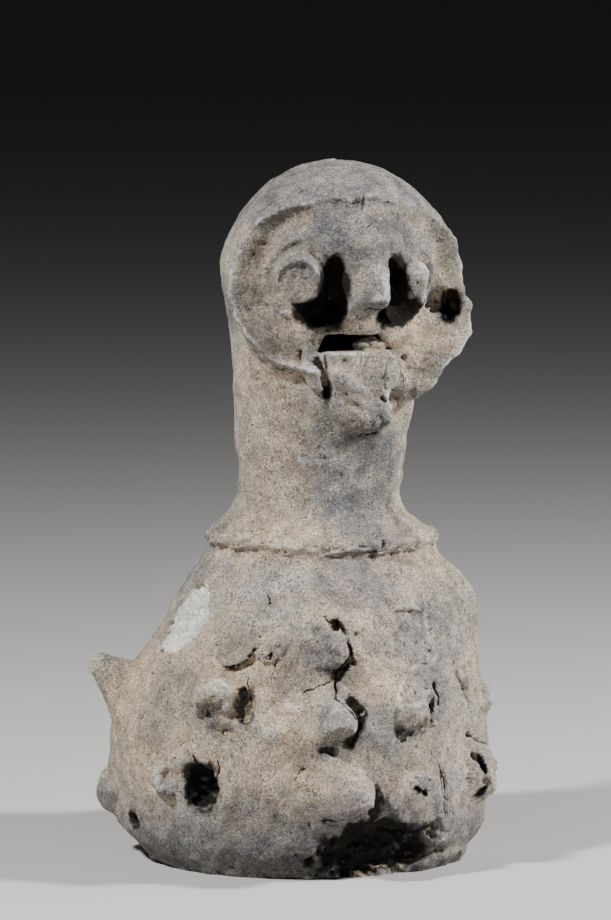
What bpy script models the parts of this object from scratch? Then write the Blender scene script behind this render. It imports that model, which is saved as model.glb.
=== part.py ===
"""Figural healing vessel of fired clay: a studded pot whose neck rises into a spirit's masked head.

Metres, +Z up, origin in the middle of the foot. The figure faces -Y. An angle is in degrees about
the vessel, 0 at the front and rising towards +X, the figure's left.
"""

import math
import random

import bmesh
import bpy
from mathutils import Matrix, Vector

# Turned form: the height, the radii down the profile, and where each ring lies as a share of the height
HEIGHT = 0.332
FOOT_RADIUS = 0.076
BELLY_RADIUS = 0.0912
CREASE_RADIUS = 0.0545
NECK_RADIUS = 0.039
HEAD_RADIUS = 0.0512
BELLY_HEIGHT = 0.117 * HEIGHT
CREASE_HEIGHT = 0.435 * HEIGHT
PARTING_HEIGHT = 0.4865 * HEIGHT
NECK_HEIGHT = 0.551 * HEIGHT
HEAD_HEIGHT = 0.843 * HEIGHT

# Walls and floor, and the gap at the parting where the neck meets the pot
POT_WALL = 0.009
NECK_WALL = 0.008
FLOOR = 0.011
PARTING_GAP = 0.0003

# Collar: a coil of clay pressed on just above the crease
COLLAR_DEPTH = 0.0075
COLLAR_PROUD = 0.0007
COLLAR_HEIGHT = CREASE_HEIGHT + 0.6 * COLLAR_DEPTH

# Hand-made lean: how far the middle of the neck stands from the foot's, and the crown's from the neck's
NECK_SHIFT = Vector((0.0280, -0.0108)) * HEIGHT
CROWN_SHIFT = Vector((0.0105, -0.0392)) * HEIGHT
UNEVEN = 0.008

# Studs, side lug and broken scars
STUD_RADIUS = 0.0115
STUD_REACH = 0.0125
LUG_RADIUS = 0.0135
LUG_REACH = 0.0215
LUG_ANGLE = -98
LUG_HEIGHT = 0.262 * HEIGHT
SCAR_DEPTH = 0.0012

# Mask and features
RIM_THICKNESS = 0.0045
RIM_SPREAD = 0.0060
EYE_RADIUS = 0.0117
EYE_REACH = 0.0110
RIGHT_EYE = (-36.8, 0.846)
LEFT_EYE = (31, 0.828)
NOSE_WIDTH = 0.0250
NOSE_REACH = 0.0140
NOSE_ANGLE = -2.5
NOSE_TOP = 0.913 * HEIGHT
NOSE_BOTTOM = 0.801 * HEIGHT
MOUTH_WIDTH = 0.0375
MOUTH_RISE = 0.0080
MOUTH_BOTTOM = 0.735 * HEIGHT
CHIN_REACH = 0.0045
CHIN_BOTTOM = 0.620 * HEIGHT
CHIN_LUMP_ANGLE = 11
FLAP_WIDTH = 0.0130
FLAP_REACH = 0.0060
FLAP_ANGLE = -30

# Rounding of the faceted forms, how deep an added form is sunk into the wall, and the longest edge
# that is closed up where two forms meet
SIDES = 42
STUD_SIDES = 10
EYE_SIDES = 14
SCAR_SIDES = 12
RIM_SECTIONS = 34
RING_STEP = 0.0135
SINK = 0.5 * POT_WALL
WELD = 0.00004

# Outline between the named rings: shares of the rise, and of the change in radius, to the next ring
FOOT_CURVE = ((0.14, 0.30), (0.38, 0.76))
SHOULDER_CURVE = ((0.31, 0.06), (0.49, 0.24), (0.77, 0.58), (0.94, 0.88))
FLARE_CURVE = ((0.12, 0.11), (0.34, 0.27), (0.45, 0.62), (0.60, 0.87))
FACE_CURVE = ((0.25, 0.14), (0.60, 0.37), (0.80, 0.68))
CROWN_STEPS = 7

# Rim of the mask from the figure's right cheek over the brow to its left cheek: angle, height as a
# share of the whole height, and how far the crest stands out from the head as a share of its radius
RIM_CREST = (
    (-33, 0.714, 0.08),
    (-46, 0.719, 0.18),
    (-58, 0.740, 0.24),
    (-65, 0.783, 0.27),
    (-69, 0.828, 0.22),
    (-69, 0.886, 0.18),
    (-65, 0.923, 0.12),
    (-42, 0.944, 0.07),
    (-10, 0.950, 0.07),
    (24, 0.941, 0.05),
    (50, 0.923, 0.08),
    (64, 0.883, 0.19),
    (67, 0.834, 0.24),
    (62, 0.789, 0.41),
    (58, 0.750, 0.42),
    (48, 0.714, 0.40),
    (42, 0.684, 0.28),
    (39, 0.655, 0.15),
)
MASK_MIDDLE = (-2, 0.816)


def eased(value, start, end):
    """A smooth share from 0 at start to 1 at end."""
    share = min(max((value - start) / (end - start), 0.0), 1.0)
    return share * share * (3.0 - 2.0 * share)


def between(first, second, curve):
    """The points of a curve of shares between two (height, radius) rings."""
    return [
        (first[0] + (second[0] - first[0]) * rise, first[1] + (second[1] - first[1]) * change)
        for rise, change in curve
    ]


def outline():
    """The turned profile as (height, radius), from the foot's edge to just under the crown."""
    foot = (0.0, FOOT_RADIUS)
    belly = (BELLY_HEIGHT, BELLY_RADIUS)
    crease = (CREASE_HEIGHT, CREASE_RADIUS)
    neck = (NECK_HEIGHT, NECK_RADIUS)
    face = (HEAD_HEIGHT, HEAD_RADIUS)
    points = [foot, *between(foot, belly, FOOT_CURVE)]
    points += [belly, *between(belly, crease, SHOULDER_CURVE)]
    points += [crease, *between(crease, neck, FLARE_CURVE)]
    points += [neck, *between(neck, face, FACE_CURVE)]
    for step in range(CROWN_STEPS):
        turn = 0.5 * math.pi * step / CROWN_STEPS
        rise = (HEIGHT - HEAD_HEIGHT) * math.sin(turn)
        points.append((HEAD_HEIGHT + rise, HEAD_RADIUS * math.cos(turn) ** 0.94))
    return points


OUTLINE = outline()


def wall_radius(height):
    """The outer radius at a height, along straight runs between the profile's points."""
    if height >= HEIGHT:
        return 0.0
    for (low, low_radius), (high, high_radius) in zip(OUTLINE, OUTLINE[1:] + [(HEIGHT, 0.0)]):
        if height <= high:
            share = (height - low) / (high - low)
            return low_radius + (high_radius - low_radius) * share
    return 0.0


def inner_radius(height):
    """The profile set in by the wall's thickness, measured square to the profile."""
    wall = POT_WALL + (NECK_WALL - POT_WALL) * eased(height, CREASE_HEIGHT, NECK_HEIGHT)
    reaches = [wall * step / 6 for step in range(-6, 7)]
    return min(
        wall_radius(max(height + reach, 0.0)) - math.sqrt(wall * wall - reach * reach)
        for reach in reaches
    )


def axis_at(height):
    """The middle of the vessel at a height: the neck leans, and the head leans on from it."""
    lean = eased(height, 0.23 * HEIGHT, 0.38 * HEIGHT)
    nod = eased(height, 0.59 * HEIGHT, HEIGHT)
    return NECK_SHIFT * lean + CROWN_SHIFT * nod


def polar(angle, height, radius):
    """The point at an angle, a height and a radius from the leaning middle."""
    turn = math.radians(angle)
    middle = axis_at(height)
    return Vector((middle.x + radius * math.sin(turn), middle.y - radius * math.cos(turn), height))


def skin(angle, height, proud=0.0):
    """A point on the uneven outer wall, or standing proud of it."""
    turn = math.radians(angle)
    rise = height / HEIGHT
    swell = math.sin(2 * turn + 20 * rise) + 0.6 * math.sin(3 * turn - 30 * rise + 1.0)
    return polar(angle, height, wall_radius(height) * (1 + UNEVEN * swell) + proud)


def skin_frame(angle, height, roll=0.0, pitch=0.0):
    """Axes at a place on the wall: X round the vessel, Y up the wall, Z straight out of it."""
    step = 0.006 * HEIGHT
    around = skin(angle + 1, height) - skin(angle - 1, height)
    upward = skin(angle, height + step) - skin(angle, height - step)
    outward = around.cross(upward).normalized()
    around.normalize()
    axes = Matrix((around, outward.cross(around), outward)).transposed().to_4x4()
    turned = Matrix.Rotation(math.radians(roll), 4, "Z") @ Matrix.Rotation(math.radians(pitch), 4, "X")
    return Matrix.Translation(skin(angle, height)) @ axes @ turned


def solid(name, loops, tip=None):
    """A closed object lofted through loops of equal count, flat at its ends or drawn to a tip."""
    mesh = bmesh.new()
    rings = [[mesh.verts.new(point) for point in loop] for loop in loops]
    for lower, upper in zip(rings, rings[1:]):
        count = len(lower)
        for i in range(count):
            j = (i + 1) % count
            mesh.faces.new((lower[i], lower[j], upper[j], upper[i]))
    mesh.faces.new(list(reversed(rings[0])))
    if tip is None:
        mesh.faces.new(rings[-1])
    else:
        top = mesh.verts.new(tip)
        last = rings[-1]
        for i in range(len(last)):
            mesh.faces.new((last[i], last[(i + 1) % len(last)], top))
    bmesh.ops.recalc_face_normals(mesh, faces=mesh.faces)
    bmesh.ops.triangulate(mesh, faces=[face for face in mesh.faces if len(face.verts) > 4])
    data = bpy.data.meshes.new(name)
    mesh.to_mesh(data)
    mesh.free()
    made = bpy.data.objects.new(name, data)
    bpy.context.scene.collection.objects.link(made)
    return made


def combine(target, tools, operation):
    """Joins shapes to the target, or cuts them away, all at once, and drops them."""
    group = bpy.data.collections.new("tools")
    bpy.context.scene.collection.children.link(group)
    for tool in tools:
        group.objects.link(tool)
    boolean = target.modifiers.new("combine", "BOOLEAN")
    boolean.operation = operation
    boolean.solver = "EXACT"
    boolean.use_self = True
    boolean.operand_type = "COLLECTION"
    boolean.collection = group
    graph = bpy.context.evaluated_depsgraph_get()
    result = bpy.data.meshes.new_from_object(target.evaluated_get(graph))
    target.modifiers.clear()
    mesh = bmesh.new()
    mesh.from_mesh(result)
    bmesh.ops.remove_doubles(mesh, verts=mesh.verts, dist=WELD)
    bmesh.ops.dissolve_degenerate(mesh, edges=mesh.edges, dist=WELD)
    loose = [edge for edge in mesh.edges if not edge.link_faces]
    bmesh.ops.delete(mesh, geom=loose, context="EDGES")
    mesh.to_mesh(result)
    mesh.free()
    target.data = result
    for tool in tools:
        bpy.data.objects.remove(tool)
    bpy.data.collections.remove(group)


def around_loop(height, radius_at, sides):
    """A loop of points round the vessel at a height, its radius from a function of the angle."""
    return [polar(360 * i / sides, height, radius_at(360 * i / sides)) for i in range(sides)]


def ring_heights(heights, step):
    """The given heights with further ones between them, no further apart than a step."""
    rings = []
    for low, high in zip(heights, heights[1:]):
        count = math.ceil((high - low) / step)
        rings += [low + (high - low) * i / count for i in range(count)]
    return rings + [heights[-1]]


def turned_form():
    """The whole outer form, closed and solid, from foot to crown."""
    loops = []
    for height in ring_heights([point[0] for point in OUTLINE], RING_STEP):
        loops.append([skin(360 * i / SIDES, height) for i in range(SIDES)])
    return solid("vessel", loops, polar(0, HEIGHT, 0.0))


def hollow():
    """The space inside, from the floor up the neck to the inside of the crown."""
    top = HEIGHT - 1.5 * NECK_WALL
    named = [FLOOR, BELLY_HEIGHT, CREASE_HEIGHT, NECK_HEIGHT, HEAD_HEIGHT, top]
    loops = []
    for height in ring_heights(named, 1.4 * RING_STEP):
        radius = inner_radius(height)
        loops.append(around_loop(height, lambda angle: radius, SIDES // 2))
    return solid("hollow", loops)


def collar():
    """The coil of clay pressed on where the flared neck meets the shoulder."""
    half = 0.5 * COLLAR_DEPTH
    middle = axis_at(COLLAR_HEIGHT)
    section = ((-0.9, -0.75), (-0.2, -1.0), (0.75, -0.85), (1.0, -0.1), (0.7, 0.75), (-0.9, 1.0))
    mesh = bmesh.new()
    rings = []
    for i in range(SIDES):
        turn = 2 * math.pi * (i + 0.5) / SIDES
        ring = []
        for out, up in section:
            radius = CREASE_RADIUS + COLLAR_PROUD - half + half * out
            ring.append(mesh.verts.new((radius * math.sin(turn), -radius * math.cos(turn), half * up)))
        rings.append(ring)
    for ring, following in zip(rings, rings[1:] + rings[:1]):
        for i in range(len(section)):
            j = (i + 1) % len(section)
            mesh.faces.new((ring[i], ring[j], following[j], following[i]))
    bmesh.ops.recalc_face_normals(mesh, faces=mesh.faces)
    bmesh.ops.translate(mesh, vec=(middle.x, middle.y, COLLAR_HEIGHT), verts=mesh.verts)
    data = bpy.data.meshes.new("collar")
    mesh.to_mesh(data)
    mesh.free()
    made = bpy.data.objects.new("collar", data)
    bpy.context.scene.collection.objects.link(made)
    return made


def oval(frame, half_width, half_height, out, sides):
    """A loop round the frame's middle, standing out from the wall."""
    loop = []
    for i in range(sides):
        turn = 2 * math.pi * i / sides
        loop.append(frame @ Vector((half_width * math.cos(turn), half_height * math.sin(turn), out)))
    return loop


def lump(frame, radius, reach, stretch, seed, shape):
    """A lump of clay on the wall: a turned profile of (radius share, reach share), slightly uneven."""
    jitter = random.Random(seed)
    loops = []
    for wide, out in shape:
        loop = []
        for i in range(STUD_SIDES):
            turn = 2 * math.pi * i / STUD_SIDES
            size = radius * wide * jitter.uniform(0.93, 1.07)
            place = Vector((size * math.cos(turn), size * stretch * math.sin(turn), reach * out))
            loop.append(frame @ place)
        loops.append(loop)
    return solid("lump", [oval(frame, radius, radius * stretch, -SINK, STUD_SIDES), *loops])


POINTED = ((1.28, -0.08), (0.98, 0.30), (0.72, 0.75), (0.30, 1.0))
BROKEN = ((1.30, -0.12), (1.05, 0.36), (0.78, 0.56))
BLUNT = ((1.30, -0.10), (1.02, 0.32), (0.82, 0.74), (0.52, 1.0))

# Studs in front, as the photograph shows them: angle, height share, size share, reach share, upright
# stretch, tilt down of the tip, and shape
FRONT_STUDS = (
    (-50, 0.337, 1.10, 0.40, 1.0, 0, BROKEN),
    (-17, 0.327, 1.10, 1.00, 1.1, 12, POINTED),
    (57, 0.352, 1.15, 0.36, 1.8, 0, BLUNT),
    (-47, 0.238, 1.00, 1.05, 1.0, 12, BLUNT),
    (-11, 0.220, 1.15, 1.20, 1.1, 15, POINTED),
    (19, 0.232, 1.05, 0.90, 1.1, 10, BLUNT),
    (69, 0.229, 0.90, 0.42, 1.1, 0, POINTED),
    (-101, 0.094, 1.20, 0.62, 1.0, 15, BLUNT),
    (-55, 0.130, 1.15, 1.20, 1.1, 15, POINTED),
    (-8, 0.119, 1.30, 1.35, 1.0, 20, BLUNT),
    (50, 0.116, 1.25, 0.72, 1.3, 0, BROKEN),
)

# Rows of plainer studs behind: height share, first angle, last angle and how many
BACK_ROWS = ((0.345, 100, 200, 4), (0.232, 108, 220, 4), (0.120, 106, 218, 4))

# Scars where a stud or a limb broke off: angle, height share, half width, half height, roll
SCARS = (
    (-84.6, 0.356, 0.0155, 0.0230, 25),
    (14.6, 0.339, 0.0160, 0.0205, 0),
    (16.2, 0.107, 0.0160, 0.0160, 0),
)


def studs():
    """Every stud of the pot, front ones one by one and the hidden rows behind by rule."""
    made = []
    for seed, (angle, share, size, reach, stretch, droop, shape) in enumerate(FRONT_STUDS):
        frame = skin_frame(angle, share * HEIGHT, pitch=droop)
        made.append(lump(frame, STUD_RADIUS * size, STUD_REACH * reach, stretch, seed, shape))
    jitter = random.Random(7)
    for share, first, last, count in BACK_ROWS:
        for i in range(count):
            angle = first + (last - first) * i / (count - 1) + jitter.uniform(-4, 4)
            height = (share + jitter.uniform(-0.012, 0.012)) * HEIGHT
            frame = skin_frame(angle, height, pitch=10)
            shape = jitter.choice((POINTED, BLUNT, BROKEN))
            made.append(lump(frame, STUD_RADIUS, STUD_REACH, 1.0, len(made), shape))
    return made


def side_lug():
    """The long lug on the figure's right flank, rising a little to a rounded tip."""
    frame = skin_frame(LUG_ANGLE, LUG_HEIGHT, pitch=-4)
    shape = ((1.50, -0.10), (1.15, 0.22), (0.88, 0.55), (0.70, 0.85), (0.42, 1.0))
    return lump(frame, LUG_RADIUS, LUG_REACH, 0.95, 99, shape)


def scars():
    """Flat-bottomed cutters that leave a shallow facet where something broke away."""
    made = []
    for angle, share, half_width, half_height, roll in SCARS:
        frame = skin_frame(angle, share * HEIGHT, roll=roll)
        cut = [oval(frame, half_width, half_height, out, SCAR_SIDES) for out in (-SCAR_DEPTH, 2 * SINK)]
        made.append(solid("scar", cut))
    return made


def smooth_path(points, count):
    """Points along a Catmull-Rom curve through the given points, ends included."""
    path = []
    last = len(points) - 1
    for i in range(count):
        along = last * i / (count - 1)
        k = min(int(along), last - 1)
        t = along - k
        before = points[max(k - 1, 0)]
        after = points[min(k + 2, last)]
        place = []
        for a, b, c, d in zip(before, points[k], points[k + 1], after):
            bend = 2 * a - 5 * b + 4 * c - d
            twist = 3 * b - a - 3 * c + d
            place.append(0.5 * (2 * b + (c - a) * t + bend * t ** 2 + twist * t ** 3))
        path.append(tuple(place))
    return path


def mask_rim():
    """The flared rim round the face: a wedge on the head whose crest follows RIM_CREST."""
    middle_angle, middle_height = MASK_MIDDLE[0], MASK_MIDDLE[1] * HEIGHT
    loops = []
    for angle, share, proud in smooth_path(RIM_CREST, RIM_SECTIONS):
        height = share * HEIGHT
        crest = wall_radius(height) + proud * HEAD_RADIUS
        run = math.hypot(math.radians(angle - middle_angle) * HEAD_RADIUS, height - middle_height)

        def at(distance, radius):
            shift = distance / run
            place = height + (height - middle_height) * shift
            return polar(angle + (angle - middle_angle) * shift, place, radius)

        def sunk(distance, out):
            place = height + (height - middle_height) * distance / run
            return at(distance, wall_radius(place) - SINK + out)

        half = 0.5 * RIM_THICKNESS
        spread = RIM_SPREAD + 0.5 * proud * HEAD_RADIUS
        loops.append([
            sunk(-2.6 * spread, 0.6 * SINK),
            sunk(-1.5 * spread, SINK + 0.14 * proud * HEAD_RADIUS),
            at(-half, crest - 0.45 * half),
            at(half, crest),
            sunk(1.1 * spread, SINK + 0.30 * proud * HEAD_RADIUS),
            sunk(1.9 * spread, 0.0),
        ])
    return solid("rim", loops)


def eye(angle, share):
    """A round pellet of clay with a raised lip and a flat face."""
    frame = skin_frame(angle, share * HEIGHT)
    shape = ((1.0, -SINK / EYE_REACH), (1.0, 0.0), (1.04, 0.80), (0.93, 1.0), (0.78, 0.90))
    loops = []
    for wide, out in shape:
        loops.append(oval(frame, EYE_RADIUS * wide, EYE_RADIUS * wide, EYE_REACH * out, EYE_SIDES))
    return solid("eye", loops)


def ridge(name, middle, stations):
    """A ridge down the face: at each (height, half width, reach) a rounded roof on the wall."""
    roof = ((-1.0, 0.0), (-0.62, 0.62), (-0.22, 0.97), (0.22, 0.97), (0.62, 0.62), (1.0, 0.0))
    loops = []
    for height, half_width, reach in stations:
        half_angle = math.degrees(half_width / wall_radius(height))
        base = wall_radius(height)
        loop = [polar(middle - half_angle, height, base - SINK)]
        for across, out in roof:
            loop.append(polar(middle + half_angle * across, height, base + reach * out))
        loop.append(polar(middle + half_angle, height, base - SINK))
        loops.append(loop)
    return solid(name, loops)


def nose():
    """A long straight nose, widest and proudest just above its flat underside."""
    drop = NOSE_TOP - NOSE_BOTTOM
    half = 0.5 * NOSE_WIDTH
    return ridge("nose", NOSE_ANGLE, (
        (NOSE_TOP, 0.35 * half, 0.02 * NOSE_REACH),
        (NOSE_TOP - 0.25 * drop, 0.50 * half, 0.25 * NOSE_REACH),
        (NOSE_TOP - 0.50 * drop, 0.66 * half, 0.52 * NOSE_REACH),
        (NOSE_TOP - 0.78 * drop, 0.92 * half, 0.88 * NOSE_REACH),
        (NOSE_TOP - 0.90 * drop, half, NOSE_REACH),
        (NOSE_BOTTOM, 0.85 * half, 0.80 * NOSE_REACH),
    ))


def chin():
    """The slab under the mouth, ending in a raised broken lump with an overhanging edge."""
    top = MOUTH_BOTTOM - 0.1 * MOUTH_RISE
    drop = top - CHIN_BOTTOM
    half = 0.5 * MOUTH_WIDTH
    slab = ridge("chin", 0, (
        (top, 0.98 * half, 0.85 * CHIN_REACH),
        (top - 0.40 * drop, 0.96 * half, CHIN_REACH),
        (top - 0.75 * drop, 0.90 * half, CHIN_REACH),
        (top - 0.92 * drop, 0.80 * half, 0.60 * CHIN_REACH),
    ))
    knob = ridge("chin_lump", CHIN_LUMP_ANGLE, (
        (top - 0.42 * drop, 0.50 * half, 0.9 * CHIN_REACH),
        (top - 0.62 * drop, 0.72 * half, 1.6 * CHIN_REACH),
        (top - 0.88 * drop, 0.74 * half, 1.9 * CHIN_REACH),
        (CHIN_BOTTOM, 0.60 * half, 1.3 * CHIN_REACH),
    ))
    return [slab, knob]


def flap():
    """The tag of clay that hangs off the mask beside the mouth."""
    half = 0.5 * FLAP_WIDTH
    return ridge("flap", FLAP_ANGLE, (
        (0.722 * HEIGHT, half, 0.8 * FLAP_REACH),
        (0.710 * HEIGHT, 0.92 * half, 1.1 * FLAP_REACH),
        (0.695 * HEIGHT, 0.70 * half, 1.2 * FLAP_REACH),
        (0.682 * HEIGHT, 0.40 * half, 0.8 * FLAP_REACH),
    ))


def mouth():
    """The slot through the face into the hollow neck, longer below than above."""
    half = 0.5 * MOUTH_WIDTH
    tilt = 0.12 * MOUTH_RISE
    middle = axis_at(MOUTH_BOTTOM)
    corners = ((-half, tilt), (half, -tilt), (0.5 * half, MOUTH_RISE), (-0.85 * half, MOUTH_RISE))
    loops = []
    for depth in (1.8 * HEAD_RADIUS, 0.3 * HEAD_RADIUS):
        loops.append([Vector((middle.x + x, middle.y - depth, MOUTH_BOTTOM + z)) for x, z in corners])
    return solid("mouth", loops)


def half_space(start, end):
    """A block wider than the vessel between two heights, to cut it at the parting."""
    wide = 2 * BELLY_RADIUS
    corners = ((-wide, -wide), (wide, -wide), (wide, wide), (-wide, wide))
    return solid("block", [[Vector((x, y, height)) for x, y in corners] for height in (start, end)])


def clay(name, colour, roughness):
    """A matt fired clay."""
    material = bpy.data.materials.new(name)
    material.use_nodes = True
    shader = material.node_tree.nodes["Principled BSDF"]
    shader.inputs["Base Color"].default_value = (*colour, 1.0)
    shader.inputs["Roughness"].default_value = roughness
    shader.inputs["Metallic"].default_value = 0.0
    return material


def finish(piece, name, material):
    """Names a solid, gives it its clay and rounds its shading between sharp edges."""
    piece.name = name
    piece.data.name = name
    piece.data.materials.clear()
    piece.data.materials.append(material)
    piece.data.shade_smooth()
    piece.data.set_sharp_from_angle(angle=math.radians(35))


def build():
    """Joins the forms, hollows them, and parts the vessel at the crease under the neck."""
    for old in list(bpy.data.objects):
        bpy.data.objects.remove(old)
    vessel = turned_form()
    combine(vessel, scars(), "DIFFERENCE")
    forms = [collar(), *studs(), side_lug(), mask_rim(), eye(*RIGHT_EYE), eye(*LEFT_EYE)]
    combine(vessel, [*forms, nose(), *chin(), flap()], "UNION")
    combine(vessel, [hollow(), mouth()], "DIFFERENCE")
    head = bpy.data.objects.new("head", vessel.data.copy())
    bpy.context.scene.collection.objects.link(head)
    half_gap = 0.5 * PARTING_GAP
    combine(vessel, [half_space(PARTING_HEIGHT - half_gap, 2 * HEIGHT)], "DIFFERENCE")
    combine(head, [half_space(-HEIGHT, PARTING_HEIGHT + half_gap)], "DIFFERENCE")
    finish(vessel, "vessel_body", clay("pot_clay", (0.27, 0.235, 0.20), 0.85))
    finish(head, "head_and_neck", clay("head_clay", (0.25, 0.22, 0.19), 0.85))


build()
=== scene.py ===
"""Looks of the figural healing vessel: one hand-worked surface of fired clay over pot, neck and head.

Lengths are in millimetres until the surface is made. The figure faces -Y; an angle is in degrees about
the vessel, 0 at the front and rising towards +X, and a height is measured from the foot.
"""

from math import atan2, cos, degrees, hypot, pi, radians, sin, sqrt

import bmesh
import bpy
import numpy as np
import openvdb
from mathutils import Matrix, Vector


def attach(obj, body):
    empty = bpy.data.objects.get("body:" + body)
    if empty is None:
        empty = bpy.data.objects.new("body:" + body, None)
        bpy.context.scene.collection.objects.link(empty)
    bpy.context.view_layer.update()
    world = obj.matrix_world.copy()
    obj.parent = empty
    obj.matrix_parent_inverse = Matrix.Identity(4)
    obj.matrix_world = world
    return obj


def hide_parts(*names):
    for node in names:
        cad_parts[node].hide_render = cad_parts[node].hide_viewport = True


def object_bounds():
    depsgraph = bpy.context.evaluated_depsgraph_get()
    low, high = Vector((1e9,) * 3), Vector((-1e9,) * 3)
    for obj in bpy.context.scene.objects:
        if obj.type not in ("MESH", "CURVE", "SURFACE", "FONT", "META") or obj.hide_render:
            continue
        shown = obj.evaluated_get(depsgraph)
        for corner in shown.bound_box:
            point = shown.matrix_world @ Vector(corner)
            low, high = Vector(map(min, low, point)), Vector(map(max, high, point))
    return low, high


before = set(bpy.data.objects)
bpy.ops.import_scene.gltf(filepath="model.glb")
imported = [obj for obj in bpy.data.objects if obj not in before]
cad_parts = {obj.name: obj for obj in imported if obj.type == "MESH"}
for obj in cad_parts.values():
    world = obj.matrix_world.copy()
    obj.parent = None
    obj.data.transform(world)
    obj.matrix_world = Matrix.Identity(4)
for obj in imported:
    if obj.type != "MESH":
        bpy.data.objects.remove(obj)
CAD_LOW, CAD_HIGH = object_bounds()

# Turned form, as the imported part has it
HEIGHT = 1000.0 * (CAD_HIGH.z - CAD_LOW.z)
FOOT_RADIUS = 76.0
BELLY_RADIUS = 91.2
CREASE_RADIUS = 54.5
NECK_RADIUS = 39.0
HEAD_RADIUS = 51.2
CREASE_HEIGHT = 0.435 * HEIGHT
NECK_HEIGHT = 0.551 * HEIGHT
HEAD_HEIGHT = 0.843 * HEIGHT
CROWN_RISE = HEIGHT - HEAD_HEIGHT

# Its rings: height, radius, and shares of rise and of change on the way to the next ring
RINGS = (
    (0.0, FOOT_RADIUS, ((0.14, 0.30), (0.38, 0.76))),
    (0.117 * HEIGHT, BELLY_RADIUS, ((0.31, 0.06), (0.49, 0.24), (0.77, 0.58), (0.94, 0.88))),
    (CREASE_HEIGHT, CREASE_RADIUS, ((0.12, 0.11), (0.34, 0.27), (0.45, 0.62), (0.60, 0.87))),
    (NECK_HEIGHT, NECK_RADIUS, ((0.25, 0.14), (0.60, 0.37), (0.80, 0.68))),
    (HEAD_HEIGHT, HEAD_RADIUS, ()),
    (HEIGHT, HEAD_RADIUS, ()),
)
NECK_SHIFT = (0.0280 * HEIGHT, -0.0108 * HEIGHT)
CROWN_SHIFT = (0.0105 * HEIGHT, -0.0392 * HEIGHT)
LEAN_SPAN = (0.23 * HEIGHT, 0.38 * HEIGHT)
NOD_SPAN = (0.59 * HEIGHT, HEIGHT)
UNEVEN = 0.008
COLLAR_HEIGHT = 151.2
COLLAR_RADIUS = 51.2
COLLAR_LAPS = 6.5
POT_WALL = 9.0
NECK_WALL = 8.0
CROWN_WALL = 12.0
FLOOR = 11.0
LEAST_WALL = 4.5
DEEPEST_GOUGE = 13.0
MOUTH_HEIGHT = 0.735 * HEIGHT
MOUTH_TALL = 8.0
MOUTH_HALF = 18.4

# Grid of the clay's distance field, and how many triangles the finished surface may have
STEP = 0.8
BAND = 4.0
TRIANGLES = 188000
MAP_STEP = 0.5
MAP_TURN = 0.3
CRACK_REACH = 4.0

# The photograph's camera and the lamps: degrees, metres and pixels
VIEW_TURN = -21.0
VIEW_PITCH = 5.917
VIEW_DISTANCE = 2.6
VIEW_HEIGHT = 0.458
VIEW_SLIP = 0.0026
FOCAL_PIXELS = 5491.0
PHOTO_ROWS = 920.0
SENSOR = 36.0
AIM_HEIGHT = 0.17
LAMP_DISTANCE = 1.5
FLOOR_HALF = 40.0

# Rim of the mask: angle, share of the height, and how far the crest stands out
MASK_MIDDLE = (-2.0, 0.816)
MASK_RADIUS = 48.0
RIM_CREST = (
    (-33, 0.714, 4.5), (-45, 0.72, 9), (-54.5, 0.744, 11.8), (-65, 0.783, 13.8), (-69, 0.828, 11.5),
    (-69, 0.886, 9.2), (-65, 0.923, 6.2), (-42, 0.944, 3.5), (-10, 0.95, 3), (24, 0.941, 2.6),
    (50, 0.923, 2.4), (64, 0.883, 8), (67, 0.834, 10.4), (62, 0.789, 21), (58, 0.75, 20), (48, 0.714, 19.5),
    (42, 0.688, 10), (38, 0.66, 3), (22, 0.648, 0), (-2, 0.69, 0), (-22, 0.705, 0),
)

# Ridges of the face: height, half width, reach and shift sideways
NOSE = (
    (307, 9, 0, -2), (299, 11, 1.6, 0), (290, 12.5, 4.4, 1.5), (282, 13.5, 8.4, 2.5),
    (275, 12.8, 12.4, 3.6), (269.8, 12.2, 14.8, 4), (267, 11.8, 13, 4), (263, 10, 3, 3.4),
    (259.5, 10, 0, 2.5),
)
CHIN = (
    (245, 17.5, 0, 0), (243, 17.5, 3.4, 0), (236, 17, 4, 0), (225, 16, 4.2, 0.5), (214, 14.5, 3.8, 1),
    (207, 12, 1.6, 2), (203, 10, 0, 2),
)
CHIN_LUMP = (
    (232, 7, 0, 0), (226, 10.5, 1.2, 0), (217, 13, 2.6, 0), (211, 13, 3.8, 0), (206.5, 11, 2.6, 0),
    (202, 8, 0, 0),
)
FLAP = (
    (246, 5.5, 2, -0.5), (241, 5.8, 5, 0), (235, 5.4, 6.6, 1.2), (230, 4.6, 7, 2.6), (227, 3.4, 6.2, 3.6),
    (224.5, 2, 0, 4.2),
)

# Hollows and swellings of the face, then of the wall: angle, height, half width, half height, amount
FACE_FORMS = (
    (-3, 302, 26, 15, 2.4), (-18.5, 274.5, 9, 17, -11), (-25, 264, 12, 8, -7), (15, 274.5, 9, 17, -11.5),
    (28, 265, 14, 9, -8), (-42, 282, 20, 20, -1.6), (55, 267, 7, 13, -8), (-46, 297, 22, 14, -1.2),
    (28, 301, 17, 8, -1.4), (-1, 254.5, 25, 8, 1.8), (-40, 250, 16, 10, 1.2), (33, 252, 15, 9, 1.8),
    (33, 233, 11, 14, 6.5), (35, 225, 10, 10, 4), (40, 247, 12, 9, 2.5),
)
BODY_FORMS = (
    (-111, 275, 70, 75, 1.6), (-111, 312, 70, 26, -0.2), (69, 215, 24, 14, 2), (69, 169, 40, 13, -3),
    (-111, 163, 40, 9, 1.6), (-111, 134, 44, 20, 2.2), (66, 134, 34, 26, 3.2), (-111, 48, 30, 18, 1.6),
    (-111, 4, 55, 13, -3.6), (40, 2, 28, 9, 3),
)

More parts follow.
